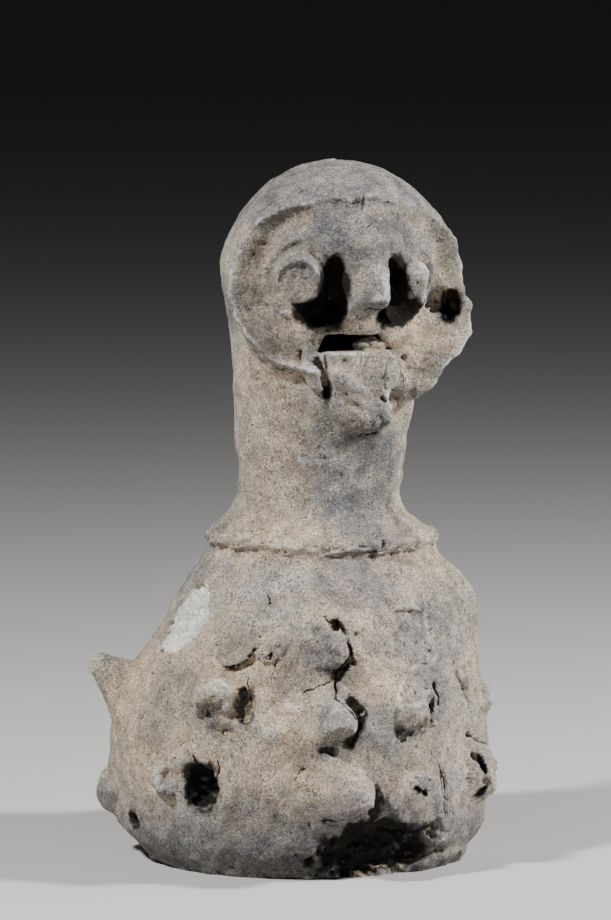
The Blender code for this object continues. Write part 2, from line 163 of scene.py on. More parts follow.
# Cracks and grooves: points of (angle, height), half width and depth
CRACKS = (
    (((-20.1, 122.6), (-16.7, 119.2)), 0.5, 0.8), (((-14.5, 121.5), (-13, 114.8), (-10.5, 111)), 0.6, 1),
    (((-7.7, 100), (-10.9, 96.6), (-10.3, 90.4), (-9.9, 85.5)), 0.9, 1.8),
    (((-9.9, 85.5), (-7.5, 81.9), (-5.1, 77.8), (-3, 74)), 0.6, 1.3),
    (((-12, 93.5), (-16, 91.5), (-21, 88.5)), 0.4, 0.8),
    (((-19.8, 54.5), (-21.3, 52), (-22.7, 49.2)), 0.6, 1),
    (((27, 89), (28.1, 82.3), (26.8, 76.4)), 0.8, 1.6),
    (((39.2, 92), (42.5, 86), (44.8, 82.8), (46.2, 75.7)), 1.1, 2.2),
    (((26.5, 50.8), (28, 42.3), (28, 35.6), (28.7, 27.9)), 0.8, 1.6),
    (((24.8, 55.5), (26.1, 47.2), (26.6, 39.1), (27.2, 33.7)), 0.35, 0.8),
    (((43.6, 62.5), (50.1, 58.1), (60.8, 52.3)), 0.8, 1.8), (((-54, 58), (-53, 54)), 0.6, 1.2),
    (((-45.5, 56.5), (-45.8, 50.5)), 0.6, 1.2), (((-41.2, 93.8), (-38.2, 88), (-37.4, 82)), 0.6, 1),
    (((-44.6, 131.5), (-42.4, 128.6), (-43, 126.8)), 0.4, 0.6),
    (((-32.9, 103.6), (-32.9, 97), (-32.3, 90.8)), 0.35, 0.6),
    (((-51.8, 68.6), (-58.1, 63.3), (-64.4, 57.9), (-71.4, 48.1)), 0.25, 0.5),
    (((-8.5, 306.8), (-10.4, 302.5)), 0.3, 0.5), (((1.8, 305.9), (-3, 303)), 0.3, 0.5),
    (((-3.9, 316.7), (-5.2, 310.5)), 0.5, 1), (((17.2, 313.1), (27.3, 307.7)), 0.3, 0.6),
    (((-57, 237.4), (-49.5, 228)), 0.4, 0.7), (((-52.8, 235.9), (-43.7, 236.2)), 0.6, 1),
    (((28.2, 242.3), (29.5, 228.4), (31.5, 216.4)), 0.3, 0.6), (((20.5, 260.4), (28.1, 256)), 0.4, 0.7),
    (((1.5, 150.5), (7, 150), (13, 151)), 0.45, 0.8),
)

# Small holes: angle, height, radius and depth
HOLES = (
    (56, 71, 3, 2.6), (-70.6, 186.4, 1.4, 1), (-65.9, 174.9, 1.3, 0.9), (42.9, 3, 4, 2.6),
    (32.5, 240, 2, 2.6),
)

# Scars where something broke off: outline of (angle, height), depth and how pale each is
SCARS = (
    (((-84.5, 134), (-76, 129), (-70.3, 119), (-72, 109),
      (-78, 101), (-88, 100), (-98, 113), (-94, 127)), 2.2, 1),
    (((3, 117), (8, 123), (20, 124), (27, 119), (29, 107), (24, 97), (11, 99), (4, 106)), 0.8, 0.1),
)

# Where the foot broke away in front, hollowed and painted black there as shade: angle, height, half width,
# half height and share
TORN_FORMS = (
    (6, 15, 38, 17, 1), (-20, 9, 18, 8, 0.3),
)

# Sooty patches, some of them painted shade, then warm tan ones, one also painted light: angle, height, half
# width, half height and strength
SMOKED_AND_SHADED_PATCHES = (
    (10, 183, 32, 42, 1), (-2, 200, 30, 26, 0.8), (34, 190, 14, 26, 0.6), (-4, 137, 24, 15, 0.8),
    (6, 70, 14, 14, 0.8), (-22, 296, 30, 20, 1), (8, 298, 34, 20, 1), (-47, 298, 26, 18, 0.75),
    (-60, 195, 30, 40, 0.3), (11, 217, 8, 10, 1), (-58, 270, 14, 26, 0.6), (-38, 279, 16, 16, 0.7),
    # The second patch on this row, under the nose, is painted shade
    (28, 276, 14, 14, 0.4), (4, 265.5, 10, 4, 1), (54, 290, 14, 20, 0.7), (8, 222, 18, 16, 0.7),
    (-50, 110, 12, 12, 0.5), (-20, 107, 9, 13, 1), (-15, 103, 8, 8, 0.9), (20, 78, 9, 9, 0.6),
    # The last two patches on this row and all four on the next darken the pot towards the foot, partly as
    # painted shade
    (-49, 77, 12, 8, 0.9), (-11, 64, 13, 8, 0.9), (-104, 27, 13, 8, 0.8), (-40, 26, 40, 18, 0.7),
    (-60, 8, 70, 24, 1), (0, 14, 70, 28, 1), (44, 16, 34, 13, 0.9), (-30, 14, 50, 22, 1),
    (14, 188, 34, 50, 0.6), (-24, 205, 24, 30, 0.5), (-44, 246, 26, 9, 0.6), (-105, 84, 16, 12, 0.35),
    (38, 300, 18, 14, 0.6), (-20, 322, 120, 24, 0.9), (10, 310, 50, 14, 0.6),
)
WARM_PATCHES = (
    (-80, 78, 60, 42, 1), (-30, 62, 40, 30, 0.7), (-28, 90, 24, 20, 0.7), (2, 92, 18, 12, 0.8),
    (-62, 204, 26, 50, 0.8), (-60, 158, 44, 10, 0.9), (0, 158, 40, 7, 0.9), (-20, 254, 28, 8, 0.9),
    # The first patch on this row, on the figure's left cheek, is partly painted light
    (34, 252, 26, 12, 1), (62, 110, 20, 60, 0.4), (-12, 288, 14, 12, 0.6), (6, 309, 18, 6, 0.8),
    (-80, 126, 14, 14, 0.4), (20, 140, 26, 12, 0.4), (-14, 48, 20, 14, 0.7),
)

# Whitish worn or scratched lines, and painted highlights: points of (angle, height), half width and
# strength
PALE_AND_HIGHLIGHT_LINES = (
    (((-82, 132.5), (-75.5, 127.6), (-71, 119), (-72.4, 110.5)), 1.5, 1),
    (((24.7, 122.5), (25.2, 112.4), (28.2, 103.6), (27, 98.5)), 0.9, 0.8),
    (((17.5, 126.5), (22, 123)), 0.8, 0.6), (((-38.5, 193.4), (-31.5, 192.1)), 0.6, 0.9),
    (((-64.2, 49.5), (-63, 43.4)), 1.8, 0.8), (((-52, 93), (-47.5, 90)), 2.2, 0.7),
    (((12, 90), (14.5, 82)), 0.8, 0.7), (((21, 90), (23, 84)), 0.8, 0.6),
    # Painted highlights: the second entry on this row, on the figure's left eye, and on the next two rows
    # the left jaw edge and the nose tip, both also worn, the nose ridge and the chin plate's left edge
    (((12.5, 91), (10.5, 82), (13, 74)), 1.2, 0.6), (((29, 284), (31, 276), (31.5, 267)), 2.6, 0.6),
    (((60, 256), (56, 244), (50, 236)), 2.6, 0.6), (((-0.5, 270.5), (4.5, 271)), 1.6, 0.8),
    (((2.5, 287), (3.5, 280), (3.5, 273)), 2, 0.35), (((20.5, 238), (21.5, 226), (19.5, 217)), 1.6, 0.7),
    (((-34.5, 75.5), (-31, 71)), 1.4, 0.5), (((-9, 86), (-12, 83)), 1.2, 0.6),
    (((-26, 84), (-22, 80.5)), 0.9, 0.4),
)

# Studs in front: angle, height, foot radius, tip radius, reach, stretch upwards, sideways lean and
# droop of the tip, roughness, and the way a broken face looks with how deep it bites, or none
STUDS = (
    (-16, 108, 16, 8.5, 12, 1.05, 1, -1, 1.3, (-0.7, -0.25, 0.65, 3)),
    (62, 127, 16, 13.5, 7, 1.5, 0, 0, 0.7, None),
    (-49, 83, 15.5, 8.5, 13, 1, 1, 1, 1.2, (0.1, -0.85, 0.5, 4)),
    (-11.5, 73.5, 17, 9.5, 14, 1.05, 2, 0, 0.7, (0.15, -0.9, 0.4, 3.5)),
    (17.5, 78.5, 14.5, 9.5, 10.5, 1.15, 1, 0, 2, (0.45, -0.25, 0.8, 3)),
    (62, 77, 12.5, 7.5, 5.2, 1.1, 0, 0, 0.9, None),
    (-107, 33.5, 19, 12.5, 9, 1.15, 0, -4, 0.8, (0.15, -0.9, 0.45, 3)),
    (-64, 47, 14, 8.5, 8, 1.1, 1, 0, 1.2, (0.8, -0.1, 0.5, 3)),
    (-8.5, 43, 21, 12.5, 15, 1.05, 2, -2, 0.9, (0.25, -0.88, 0.35, 4.5)),
    (50.5, 43, 16.5, 12.5, 8.2, 1.1, 0, 0, 1.5, (0.1, 0, 1, 2.5)),
    (-29.3, 69.9, 8.5, 5, 2.2, 1, 0, 0, 0.4, None),
)
ROUGH_STUD = 1.1

# Flat discs where studs came off: angle, height, half width, half height, reach and roughness
DISCS = (
    (-50.5, 110.5, 12, 13.5, 2.6, 0.5), (-38, 110.5, 7.5, 10, 1, 0.8), (14.8, 37, 13, 13.5, 4, 1.1),
)

# Deep ragged hollows beside some studs and eyes: angle, height, half width, half height and depth,
# and how far out the painted shade of a deep socket and of a pit reaches, in shares of its half size
GOUGES = (
    (-51.5, 44.5, 8.5, 10.5, 13), (-38.5, 82, 4, 7.5, 3.6), (-44, 70, 6, 3.5, 2.4),
    (-13.5, 63.5, 4, 3, 2.4), (1.5, 36, 4, 8, 4), (-84, 22, 4.5, 4, 4.5), (11, 69.5, 4.5, 3.5, 2.2),
    (18, 215, 2.2, 6, 3.2), (-20, 271.5, 5.2, 12.5, 13), (-27.5, 263.5, 9, 6, 12),
    (14.2, 271.5, 5, 12.5, 13), (27, 263, 9, 6.5, 12),
)
SOCKET_SHADE_EDGE = 1.4
PIT_SHADE_EDGE = 1.1

# Narrow crevices, painted black inside as shade: points of (angle, height, how far out) and half width
CREVICES = (
    (((-42.6, 112, 1.6), (-42.4, 106.5, 2), (-46.5, 99, 1.6), (-50, 97.5, 1)), 1.1),
    (((-33.5, 107, 0.6), (-37, 103, 0.8), (-43, 101, 0.8)), 0.8),
    (((-15, 119, 1), (-10, 109, 3), (-8, 103, 2), (-11.6, 96.6, 0)), 2.3),
    (((-41, 89.5, 0), (-39, 84, 1.5), (-38.5, 76, 0.5)), 1.8),
    (((-4.8, 84, 0.5), (-1.6, 79, 1), (-3.6, 72, 2), (-6.5, 65.5, 2)), 2.4),
    (((-26, 241.2, 3), (-21, 230.4, 3), (-18.1, 224.1, 0)), 2),
    (((20, 208.5, 2.5), (14.2, 205.5, 2.5), (5, 204.5, 1.5)), 0.8),
    (((44.7, 52, 3), (48, 40, 4), (41.6, 28.3, 2)), 1.6), (((60.5, 269, 9.5), (62, 260.5, 10)), 4.4),
    (((-2, 265.6, 7), (5, 265.2, 8.5), (11.5, 265.8, 8)), 1.8), (((13.4, 43, 4.8), (14.4, 41.8, 4.8)), 1),
    (((16, 41, 4.8), (16.6, 40, 4.8)), 0.9), (((17, 47, 4.6), (20.5, 44, 4.4), (22, 42.5, 4.2)), 0.8),
    (((19.5, 89, 5), (22, 82, 6), (18.5, 74, 5)), 1), (((14.7, 90, 5), (17, 80, 7)), 0.8),
    (((51.6, 119, 3), (52.4, 108, 3.4), (49.5, 102, 2)), 1.1), (((13.5, 158.5, 1), (11, 151, 4)), 0.9),
    (((3, 30, 1), (6, 26.5, 2), (12, 22.5, 1.5), (20, 23.5, 1)), 1.6),
    (((-13.5, 29.5, 4), (-9, 27, 5), (-3, 30.5, 4)), 2.2),
)

# Rows of plainer studs behind: height, first angle, last angle and how many
BACK_ROWS = ((114.5, 100, 200, 4), (77.0, 108, 220, 4), (39.8, 106, 218, 4))


# Noise: smooth values between the corners of a fixed random lattice

LATTICE_SIDE = 64
LATTICE = np.random.default_rng(3).random(LATTICE_SIDE ** 3, dtype=np.float32)
CHUNK = 100000


def lattice_value(cells, seed):
    """The random number from 0 to 1 of each whole-numbered cell."""
    held = (cells + 7 * seed) % LATTICE_SIDE
    return LATTICE.take((held[..., 0] * LATTICE_SIDE + held[..., 1]) * LATTICE_SIDE + held[..., 2])


def smooth_values(points):
    """Smooth noise from -1 to 1 at points counted in lattice steps."""
    whole = np.floor(points)
    part = points - whole
    part *= part * (3 - 2 * part)
    low = whole.astype(np.int32) % LATTICE_SIDE
    high = (low + 1) % LATTICE_SIDE
    planes = []
    for across in (low, high):
        rows = []
        for ahead in (low, high):
            base = (across[:, 0] * LATTICE_SIDE + ahead[:, 1]) * LATTICE_SIDE
            first, second = LATTICE.take(base + low[:, 2]), LATTICE.take(base + high[:, 2])
            rows.append(first + (second - first) * part[:, 2])
        planes.append(rows[0] + (rows[1] - rows[0]) * part[:, 1])
    return 2 * (planes[0] + (planes[1] - planes[0]) * part[:, 0]) - 1


def noise(points, size, seed):
    """Smooth noise from -1 to 1 with lumps of about the given size."""
    flat = points.reshape(-1, 3)
    values = np.empty(len(flat), dtype=np.float32)
    for start in range(0, len(flat), CHUNK):
        part = flat[start:start + CHUNK].astype(np.float32)
        values[start:start + CHUNK] = smooth_values(part / np.float32(size) + np.float32(5.37 * seed))
    return values.reshape(points.shape[:-1])


def fractal(points, size, octaves, seed, fade=0.5):
    """Noise on noise: each octave is half as large as the last and fainter."""
    total = np.zeros(points.shape[:-1], dtype=np.float32)
    for octave in range(octaves):
        total += fade ** octave * noise(points, size / 2.03 ** octave, seed + 0.37 * octave)
    return total


def pits(points, cell, share, seed):
    """Depth from 0 to 1 of small round holes, one in some of the cells."""
    scaled = points / cell
    cells = np.floor(scaled).astype(np.int32)
    part = scaled - cells
    away = np.zeros(points.shape[:-1], dtype=np.float32)
    for axis in range(3):
        away += (part[..., axis] - 0.35 - 0.3 * lattice_value(cells, seed + 1 + axis)) ** 2
    radius = 0.14 + 0.2 * lattice_value(cells, seed + 5)
    return np.where(lattice_value(cells, seed) < share, eased(1 - away / radius ** 2, 0, 1), 0)


# Smoothing, and the turned form

def eased(value, start, end):
    """A smooth share from 0 at start to 1 at end."""
    share = np.clip((value - start) / (end - start), 0, 1)
    return share * share * (3 - 2 * share)


def smoothed(values, reach):
    """A list of numbers evened out by a bell-shaped window."""
    half = int(3 * reach)
    window = np.exp(-0.5 * (np.arange(-half, half + 1) / reach) ** 2)
    return np.convolve(np.pad(values, half, mode="edge"), window / window.sum(), mode="valid")


OUTLINE = [
    (low + (high - low) * rise, start + (end - start) * change)
    for (low, start, curve), (high, end, _) in zip(RINGS, RINGS[1:])
    for rise, change in ((0, 0), *curve)
]
HEIGHTS = np.arange(0, HEIGHT + MAP_STEP, MAP_STEP)
RADII = smoothed(np.interp(HEIGHTS, *np.array(OUTLINE).T), 4)
SLOPES = np.gradient(RADII, MAP_STEP)


def middle(height):
    """Where the leaning middle of the vessel stands at a height."""
    lean, nod = eased(height, *LEAN_SPAN), eased(height, *NOD_SPAN)
    return [neck * lean + crown * nod for neck, crown in zip(NECK_SHIFT, CROWN_SHIFT)]


def swell(turn, height):
    """The slow unevenness of the hand-built wall, as a share of its radius."""
    rise = height / HEIGHT
    return 1 + UNEVEN * (np.sin(2 * turn + 20 * rise) + 0.6 * np.sin(3 * turn - 30 * rise + 1))


# Relief over the turned wall, as a map of angle and height

ANGLES = np.arange(-180, 180 + MAP_TURN, MAP_TURN)
MAP_ANGLE, MAP_HEIGHT = np.meshgrid(ANGLES, HEIGHTS)
MAP_RADIUS = np.interp(MAP_HEIGHT, HEIGHTS, RADII)
MAP_POINTS = np.stack([
    middle(MAP_HEIGHT)[0] + MAP_RADIUS * np.sin(np.radians(MAP_ANGLE)),
    middle(MAP_HEIGHT)[1] - MAP_RADIUS * np.cos(np.radians(MAP_ANGLE)),
    MAP_HEIGHT,
], axis=-1)


def patch(angle, height, reach):
    """The map's window round a place, and the distances round and up from it."""
    turn = degrees(1.25 * reach / float(np.interp(height, HEIGHTS, RADII)))
    rows = np.searchsorted(HEIGHTS, (height - reach, height + reach))
    columns = np.searchsorted(ANGLES, (angle - turn, angle + turn))
    window = (slice(*rows), slice(*columns))
    return window, np.radians(MAP_ANGLE[window] - angle) * MAP_RADIUS[window], MAP_HEIGHT[window] - height


def raise_mound(table, angle, height, wide, tall, amount, power=2, ragged=0):
    """Adds a soft mound, or a hollow for a negative amount."""
    window, across, up = patch(angle, height, 1.3 * max(wide, tall))
    share = (np.abs(across) / wide) ** power + (np.abs(up) / tall) ** power
    if ragged:
        share *= 1 + ragged * fractal(MAP_POINTS[window], 5, 3, 17)
    table[window] += amount * eased(1 - share, 0, 1)


def laid_out(points):
    """The middle of some (angle, height) points, and how far round and up from it each lies."""
    angles, heights = np.array(points, dtype=float).T
    across = np.radians(angles - angles.mean()) * np.interp(heights, HEIGHTS, RADII)
    return (angles.mean(), heights.mean()), across, heights - heights.mean()


def course(points, width):
    """The window round a line, the distance from it and the side of it."""
    centre, across, up = laid_out(points)
    window, turned, risen = patch(*centre, max(np.abs(across).max(), np.abs(up).max()) + width + 1)
    nearest = np.full(turned.shape, 1e3)
    side = np.ones(turned.shape)
    for x, y, run, rise in zip(across, up, np.diff(across), np.diff(up)):
        aside, above = turned - x, risen - y
        share = np.clip((aside * run + above * rise) / (run * run + rise * rise), 0, 1)
        away = np.hypot(aside - share * run, above - share * rise)
        side = np.where(away < nearest, np.where(aside * rise > above * run, 1, -1), side)
        nearest = np.minimum(nearest, away)
    return window, nearest, side


def stroke(points, width):
    """The window round a line, and 1 on the line falling to 0 beside it."""
    window, nearest, _ = course(points, width)
    return window, np.clip(1 - nearest / width, 0, 1)


def wandering(points, sway):
    """The same line with finer points that wander off it a little."""
    path = []
    for index, (start, end) in enumerate(zip(points, points[1:])):
        for part in range(4):
            phase = 9 * index + 2.3 * part + start[0]
            angle, height = [a + (b - a) * part / 4 for a, b in zip(start, end)]
            path.append((angle + sway * sin(2.1 * phase), height + sway * cos(1.7 * phase)))
    return path + [points[-1]]


def rim_polar():
    """Bearing and distance from the mask's middle, and the crest's distance and reach there."""
    centre = (MASK_MIDDLE[0], MASK_MIDDLE[1] * HEIGHT)
    across = np.radians(MAP_ANGLE - centre[0]) * MASK_RADIUS
    up = MAP_HEIGHT - centre[1]
    bearing = np.arctan2(across, up)
    crest = []
    for angle, share, proud in RIM_CREST:
        run, rise = radians(angle - centre[0]) * MASK_RADIUS, share * HEIGHT - centre[1]
        crest.append((atan2(run, rise), hypot(run, rise), proud))
    bearings, *columns = np.array(sorted(crest)).T
    around = np.concatenate([bearings - 2 * pi, bearings, bearings + 2 * pi])
    fine = np.linspace(-2 * pi, 2 * pi, 1441)
    evened = [smoothed(np.interp(fine, around, np.tile(values, 3)), 5) for values in columns]
    return bearing, np.hypot(across, up), *[np.interp(bearing, fine, values) for values in evened]


def mask_relief():
    """The mask's flared rim with the dish inside it, and its crest's line."""
    bearing, distance, crest, proud = rim_polar()
    spots = np.stack([bearing * 30, distance * 0.2, crest * 0.2], axis=-1)
    crest = crest + fractal(spots, 8, 5, 41, fade=0.65)
    brow = eased(np.cos(bearing), 0.3, 0.85)
    ragged = 0.12 + 0.25 * brow
    proud = proud * np.clip(1 + ragged * fractal(spots, 7, 4, 42, fade=0.65), 0.3, 1.8)
    beyond = distance - crest
    behind = 3 + 0.85 * proud + 16 * eased(np.cos(bearing), -0.3, 0.6)
    inner = np.clip(1 + (beyond + 0.6) / (5 + 0.95 * proud), 0, 1) ** 4
    outer = np.clip(1 - (beyond - 0.6) / behind, 0, 1) ** 1.3
    rim = np.where(np.abs(beyond) < 0.6, 1, np.where(beyond < 0, inner, outer)) * proud
    dish = eased(-beyond, 0.3, 5 + 6 * brow) * eased(distance, 8, 26) * (1 - 0.62 * brow)
    patchy = eased(fractal(spots, 22, 3, 43), -0.25, 0.45)
    line = np.exp(-(beyond / 0.9) ** 2) * eased(proud, 0.5, 3) * (0.15 + 0.85 * patchy)
    return rim - 3.2 * dish, line


def ridge(angle, stations, power, round_share=0.6, skew=0):
    """A rounded roof down the face, as its stations say.

    A skewed ridge is broad and gently sloped on one side, narrow and round on the other.
    """
    heights, halves, reaches, sides = np.array(sorted(stations)).T
    half = np.interp(HEIGHTS, heights, halves)[:, None]
    reach = np.interp(HEIGHTS, heights, reaches, left=0, right=0)
    across = np.radians(MAP_ANGLE - angle) * MAP_RADIUS - np.interp(HEIGHTS, heights, sides)[:, None]
    half = half * np.where(across < 0, 1 + skew, 1 - skew)
    power = np.where(across < 0, power * (1 - skew), power * (1 + skew))
    roof = np.clip(1 - (np.abs(across) / half) ** power, 0, 1) ** round_share
    return roof * smoothed(reach, 1.6)[:, None]


def face_relief():
    """Brow, nose, sockets, chin slab and the hanging flap."""
    relief = ridge(-2.5, NOSE, 1.5, round_share=1.1, skew=0.3)
    for form in FACE_FORMS:
        raise_mound(relief, *form, ragged=0.12)
    window, across, up = patch(-39, 279, 32)
    fold = np.exp(-((np.hypot(across, up) - 18.5) / 1.7) ** 2)
    relief[window] += 2.2 * fold * eased(-across, -6, 10)
    window, across, up = patch(31, 275, 30)
    fold = np.exp(-((np.hypot(across, 0.8 * up) - 14) / 2) ** 2)
    relief[window] += 4 * fold * eased(across, 4, 12)
    chin = ridge(2, CHIN, 5)
    window, share = stroke(((23.5, 240), (24, 228), (21, 219), (18, 211)), 2.6)
    chin[window] += 2.6 * share
    lump = ridge(9, CHIN_LUMP, 3)
    lump *= np.clip(1 + 0.7 * fractal(MAP_POINTS, 6, 4, 19, fade=0.65), 0, 2)
    return relief + np.maximum(chin, ridge(-29, FLAP, 2.6)) + lump


def scar_share(index):
    """1 inside a scar's ragged outline and 0 outside it."""
    centre, across, up = laid_out(SCARS[index][0])
    window, aside, above = patch(*centre, 1.3 * max(np.abs(across).max(), np.abs(up).max()))
    inside = np.full(aside.shape, 1e3)
    for x, y, run, rise in zip(across, up, np.roll(across, -1) - across, np.roll(up, -1) - up):
        inside = np.minimum(inside, ((aside - x) * rise - (above - y) * run) / hypot(run, rise))
    inside += 0.8 * fractal(MAP_POINTS[window], 6, 4, 60 + index)
    share = np.zeros(MAP_ANGLE.shape)
    share[window] = eased(inside, -0.2, 1)
    return share


def pale_and_highlight_map():
    """Where the clay shows a pale scar, a whitish line or a painted highlight."""
    pale = np.zeros(MAP_ANGLE.shape)
    for mask, (_, _, strength) in zip(SCAR_MASKS, SCARS):
        pale = np.maximum(pale, 0.72 * strength * mask)
    for points, width, strength in PALE_AND_HIGHLIGHT_LINES:
        window, line = stroke(wandering(points, 0.3), 1.5 * width)
        line *= np.clip(0.8 + 0.9 * fractal(MAP_POINTS[window], 5, 3, 27), 0, 1.2)
        pale[window] = np.maximum(pale[window], strength * line)
    return pale


def patch_map(patches):
    """The strongest of a list of patches at each place."""
    total = np.zeros(MAP_ANGLE.shape)
    for angle, height, wide, tall, strength in patches:
        layer = np.zeros(MAP_ANGLE.shape)
        raise_mound(layer, angle, height, 1.25 * wide, 1.25 * tall, strength, ragged=0.5)
        total = np.maximum(total, layer)
    return total


def relief_maps():
    """The relief, the cracks' strength and side, the torn foot and the mask's crest."""
    relief, crest = mask_relief()
    relief += face_relief()
    for form in BODY_FORMS:
        raise_mound(relief, *form)
    crack = np.zeros(relief.shape)
    crack_side = np.full(relief.shape, CRACK_REACH)
    for points, width, depth in CRACKS:
        window, away, side = course(wandering(points, 0.35), CRACK_REACH)
        uneven = np.clip(1 + 0.8 * fractal(MAP_POINTS[window], 7, 3, 18), 0.15, 1.5)
        relief[window] -= 1.2 * depth * uneven * np.clip(1 - away / (1.7 * width), 0, 1)
        nearer = away < np.abs(crack_side[window])
        crack_side[window] = np.where(nearer, away * side, crack_side[window])
        share = np.clip(width * uneven, 0, 1) * np.clip(1.5 - away / 1.5, 0, 1)
        crack[window] = np.where(nearer, share, crack[window])
    for angle, height, radius, depth in HOLES:
        raise_mound(relief, angle, height, radius, radius, -1.3 * depth, ragged=0.4)
    for index, (corners, depth, _) in enumerate(SCARS):
        angles = np.array(corners, dtype=float)[:, 0]
        across = np.radians(MAP_ANGLE - angles.mean()) * MAP_RADIUS
        half = np.radians(0.5 * np.ptp(angles)) * MAP_RADIUS
        flat = np.maximum(half ** 2 - across ** 2, 0) / (2 * MAP_RADIUS)
        relief -= SCAR_MASKS[index] * (0.5 * depth + flat - 0.5 * fractal(MAP_POINTS, 5, 3, 70 + index))
    shoulder = eased(MAP_HEIGHT, 150, 144) * eased(MAP_HEIGHT, 6, 20)
    relief += shoulder * 0.9 * fractal(MAP_POINTS, 34, 2, 11)
    relief += 0.6 * fractal(MAP_POINTS * (1, 1, 2.2), 26, 2, 12) * eased(MAP_HEIGHT, 150, 175)
    flank = eased(MAP_ANGLE, 26, 44) * eased(MAP_ANGLE, 92, 74) * eased(MAP_HEIGHT, 22, 40)
    flank *= eased(MAP_HEIGHT, 138, 120)
    relief += 0.9 * flank * fractal(MAP_POINTS * (1, 1, 0.18), 4.5, 3, 77, fade=0.6)
    torn = np.zeros(relief.shape)
    for form in TORN_FORMS:
        raise_mound(torn, *form, power=2.4, ragged=0.45)
    relief -= torn * (12 + 4 * fractal(MAP_POINTS, 8, 5, 13, fade=0.65))
    relief -= eased(MAP_HEIGHT, 5, 0) * (0.8 + 1.5 * fractal(MAP_POINTS, 6, 4, 14))
    return relief, crack, crack_side, torn, crest


SCAR_MASKS = [scar_share(index) for index in range(len(SCARS))]
RELIEF, CRACK, CRACK_SIDE, TORN, CREST = relief_maps()


def read_map(table, points):
    """Values of a map at points of the surface."""
    angle, height, _ = polar_of(points)
    column = np.clip((angle + 180) / MAP_TURN, 0, table.shape[1] - 1.001)
    row = np.clip(height / MAP_STEP, 0, table.shape[0] - 1.001)
    left, low = column.astype(int), row.astype(int)
    side, rise = column - left, row - low
    below = table[low, left] * (1 - side) + table[low, left + 1] * side
    above = table[low + 1, left] * (1 - side) + table[low + 1, left + 1] * side
    return below * (1 - rise) + above * rise


def on_wall(angle, height):
    """A point on the bare turned wall."""
    turn = radians(angle)
    across, ahead = middle(height)
    radius = float(np.interp(height, HEIGHTS, RADII)) * float(swell(turn, height))
    return np.array([across + radius * sin(turn), ahead - radius * cos(turn), height])


def wall_axes(angle, height):
    """The wall's own axes at a place: round the vessel, up the wall and straight out."""
    around = on_wall(angle + 2, height) - on_wall(angle - 2, height)
    outward = np.cross(around, on_wall(angle, height + 2) - on_wall(angle, height - 2))
    outward /= length(outward)
    around /= length(around)
    return np.array([around, np.cross(outward, around), outward])


# Field of distances to the clay

def length(vectors):
    """The length of each vector."""
    return np.linalg.norm(vectors, axis=-1)


def joined(first, second, blend):
    """Distance to two shapes melted together."""
    share = np.clip(0.5 + 0.5 * (first - second) / blend, 0, 1)
    return first + (second - first) * share - blend * share * (1 - share)


class Clay:
    """Distances to the clay's surface on a grid of points, negative inside it."""

    def __init__(self, step):
        self.step = step
        self.low = 1000 * np.array(CAD_LOW) - 8
        high = 1000 * np.array(CAD_HIGH) + 8
        self.axes = [np.arange(a, b, step, dtype=np.float32) for a, b in zip(self.low, high)]
        self.field = np.empty([len(axis) for axis in self.axes], dtype=np.float32)
        for k, height in enumerate(self.axes[2]):
            self.field[:, :, k] = self.turned(float(height))

    def level(self, height):
        """Distance from the middle and turn about it on one level."""
        shift = middle(height)
        across = self.axes[0][:, None] - shift[0]
        ahead = self.axes[1][None, :] - shift[1]
        return np.hypot(across, ahead), np.arctan2(across, -ahead)

    def turned(self, height):
        """One level of the turned wall with the relief on it."""
        reach, turn = self.level(height)
        held = min(max(height, 0), HEIGHT)
        row = RELIEF[int(round(held / MAP_STEP))]
        radius = np.interp(held, HEIGHTS, RADII) * swell(turn, held)
        radius += np.interp(np.degrees(turn), ANGLES, row) * (1 - eased(held, HEIGHT - 12, HEIGHT))
        if height > HEAD_HEIGHT:
            return np.hypot(reach, (height - HEAD_HEIGHT) * HEAD_RADIUS / CROWN_RISE) - radius
        slope = np.interp(held, HEIGHTS, SLOPES)
        return np.maximum((reach - radius) / sqrt(1 + slope * slope), -height)

    def near(self, centre, reach):
        """The part of the grid round a place, and its points."""
        spans = []
        for place, values in zip(centre, self.axes):
            first = int((place - reach - values[0]) / self.step)
            last = int((place + reach - values[0]) / self.step) + 2
            spans.append(slice(max(first, 0), min(max(last, 0), len(values))))
        points = np.meshgrid(*[values[span] for values, span in zip(self.axes, spans)], indexing="ij")
        return tuple(spans), np.stack(points, axis=-1)

    def seat(self, angle, height, reach, facing):
        """The grid near a place on the wall: its part, points, and points seen from the place."""
        origin = on_wall(angle, height)
        spans, points = self.near(origin, reach)
        return spans, points, (points - origin) @ wall_axes(facing, height).T

    def join(self, spans, distance, blend):
        """Presses a shape onto the clay with a soft seam."""
        self.field[spans] = joined(self.field[spans], distance, blend)

    def cut(self, spans, distance, blend):
        """Takes a shape out of the clay with a slightly softened edge."""
        self.field[spans] = -joined(-self.field[spans], distance, blend)


def tapered(points, start, end, start_radius, end_radius):
    """Distance to a rod that narrows from one end to the other, both round."""
    start, end = np.array([start, end], dtype=float)
    run = end - start
    share = np.clip((points - start) @ run / (run @ run), 0, 1)
    away = length(points - start - share[..., None] * run)
    return away - start_radius - (end_radius - start_radius) * share


def stud(clay, angle, height, foot, tip, reach, stretch, lean, droop, rough, broken, seed):
    """A pinched-on stud of clay, broken at its tip or worn round."""
    spans, points, seen = clay.seat(angle, height, stretch * foot + reach + 7, angle)
    seen = seen / (1, stretch, 1)
    grain = fractal(points, 8, 4, seed, fade=0.65)
    end = np.array((lean, droop, reach - tip))
    shape = tapered(seen, (0, 0, min(0.75 * reach, 0.45 * foot) - foot), end, foot, tip)
    shape += 0.7 * rough * grain
    if broken:
        way = np.array(broken[:3]) / length(broken[:3])
        shape = np.maximum(shape, seen @ way - (end @ way + tip - broken[3]) + rough * grain)
    clay.join(spans, shape, 3.5)


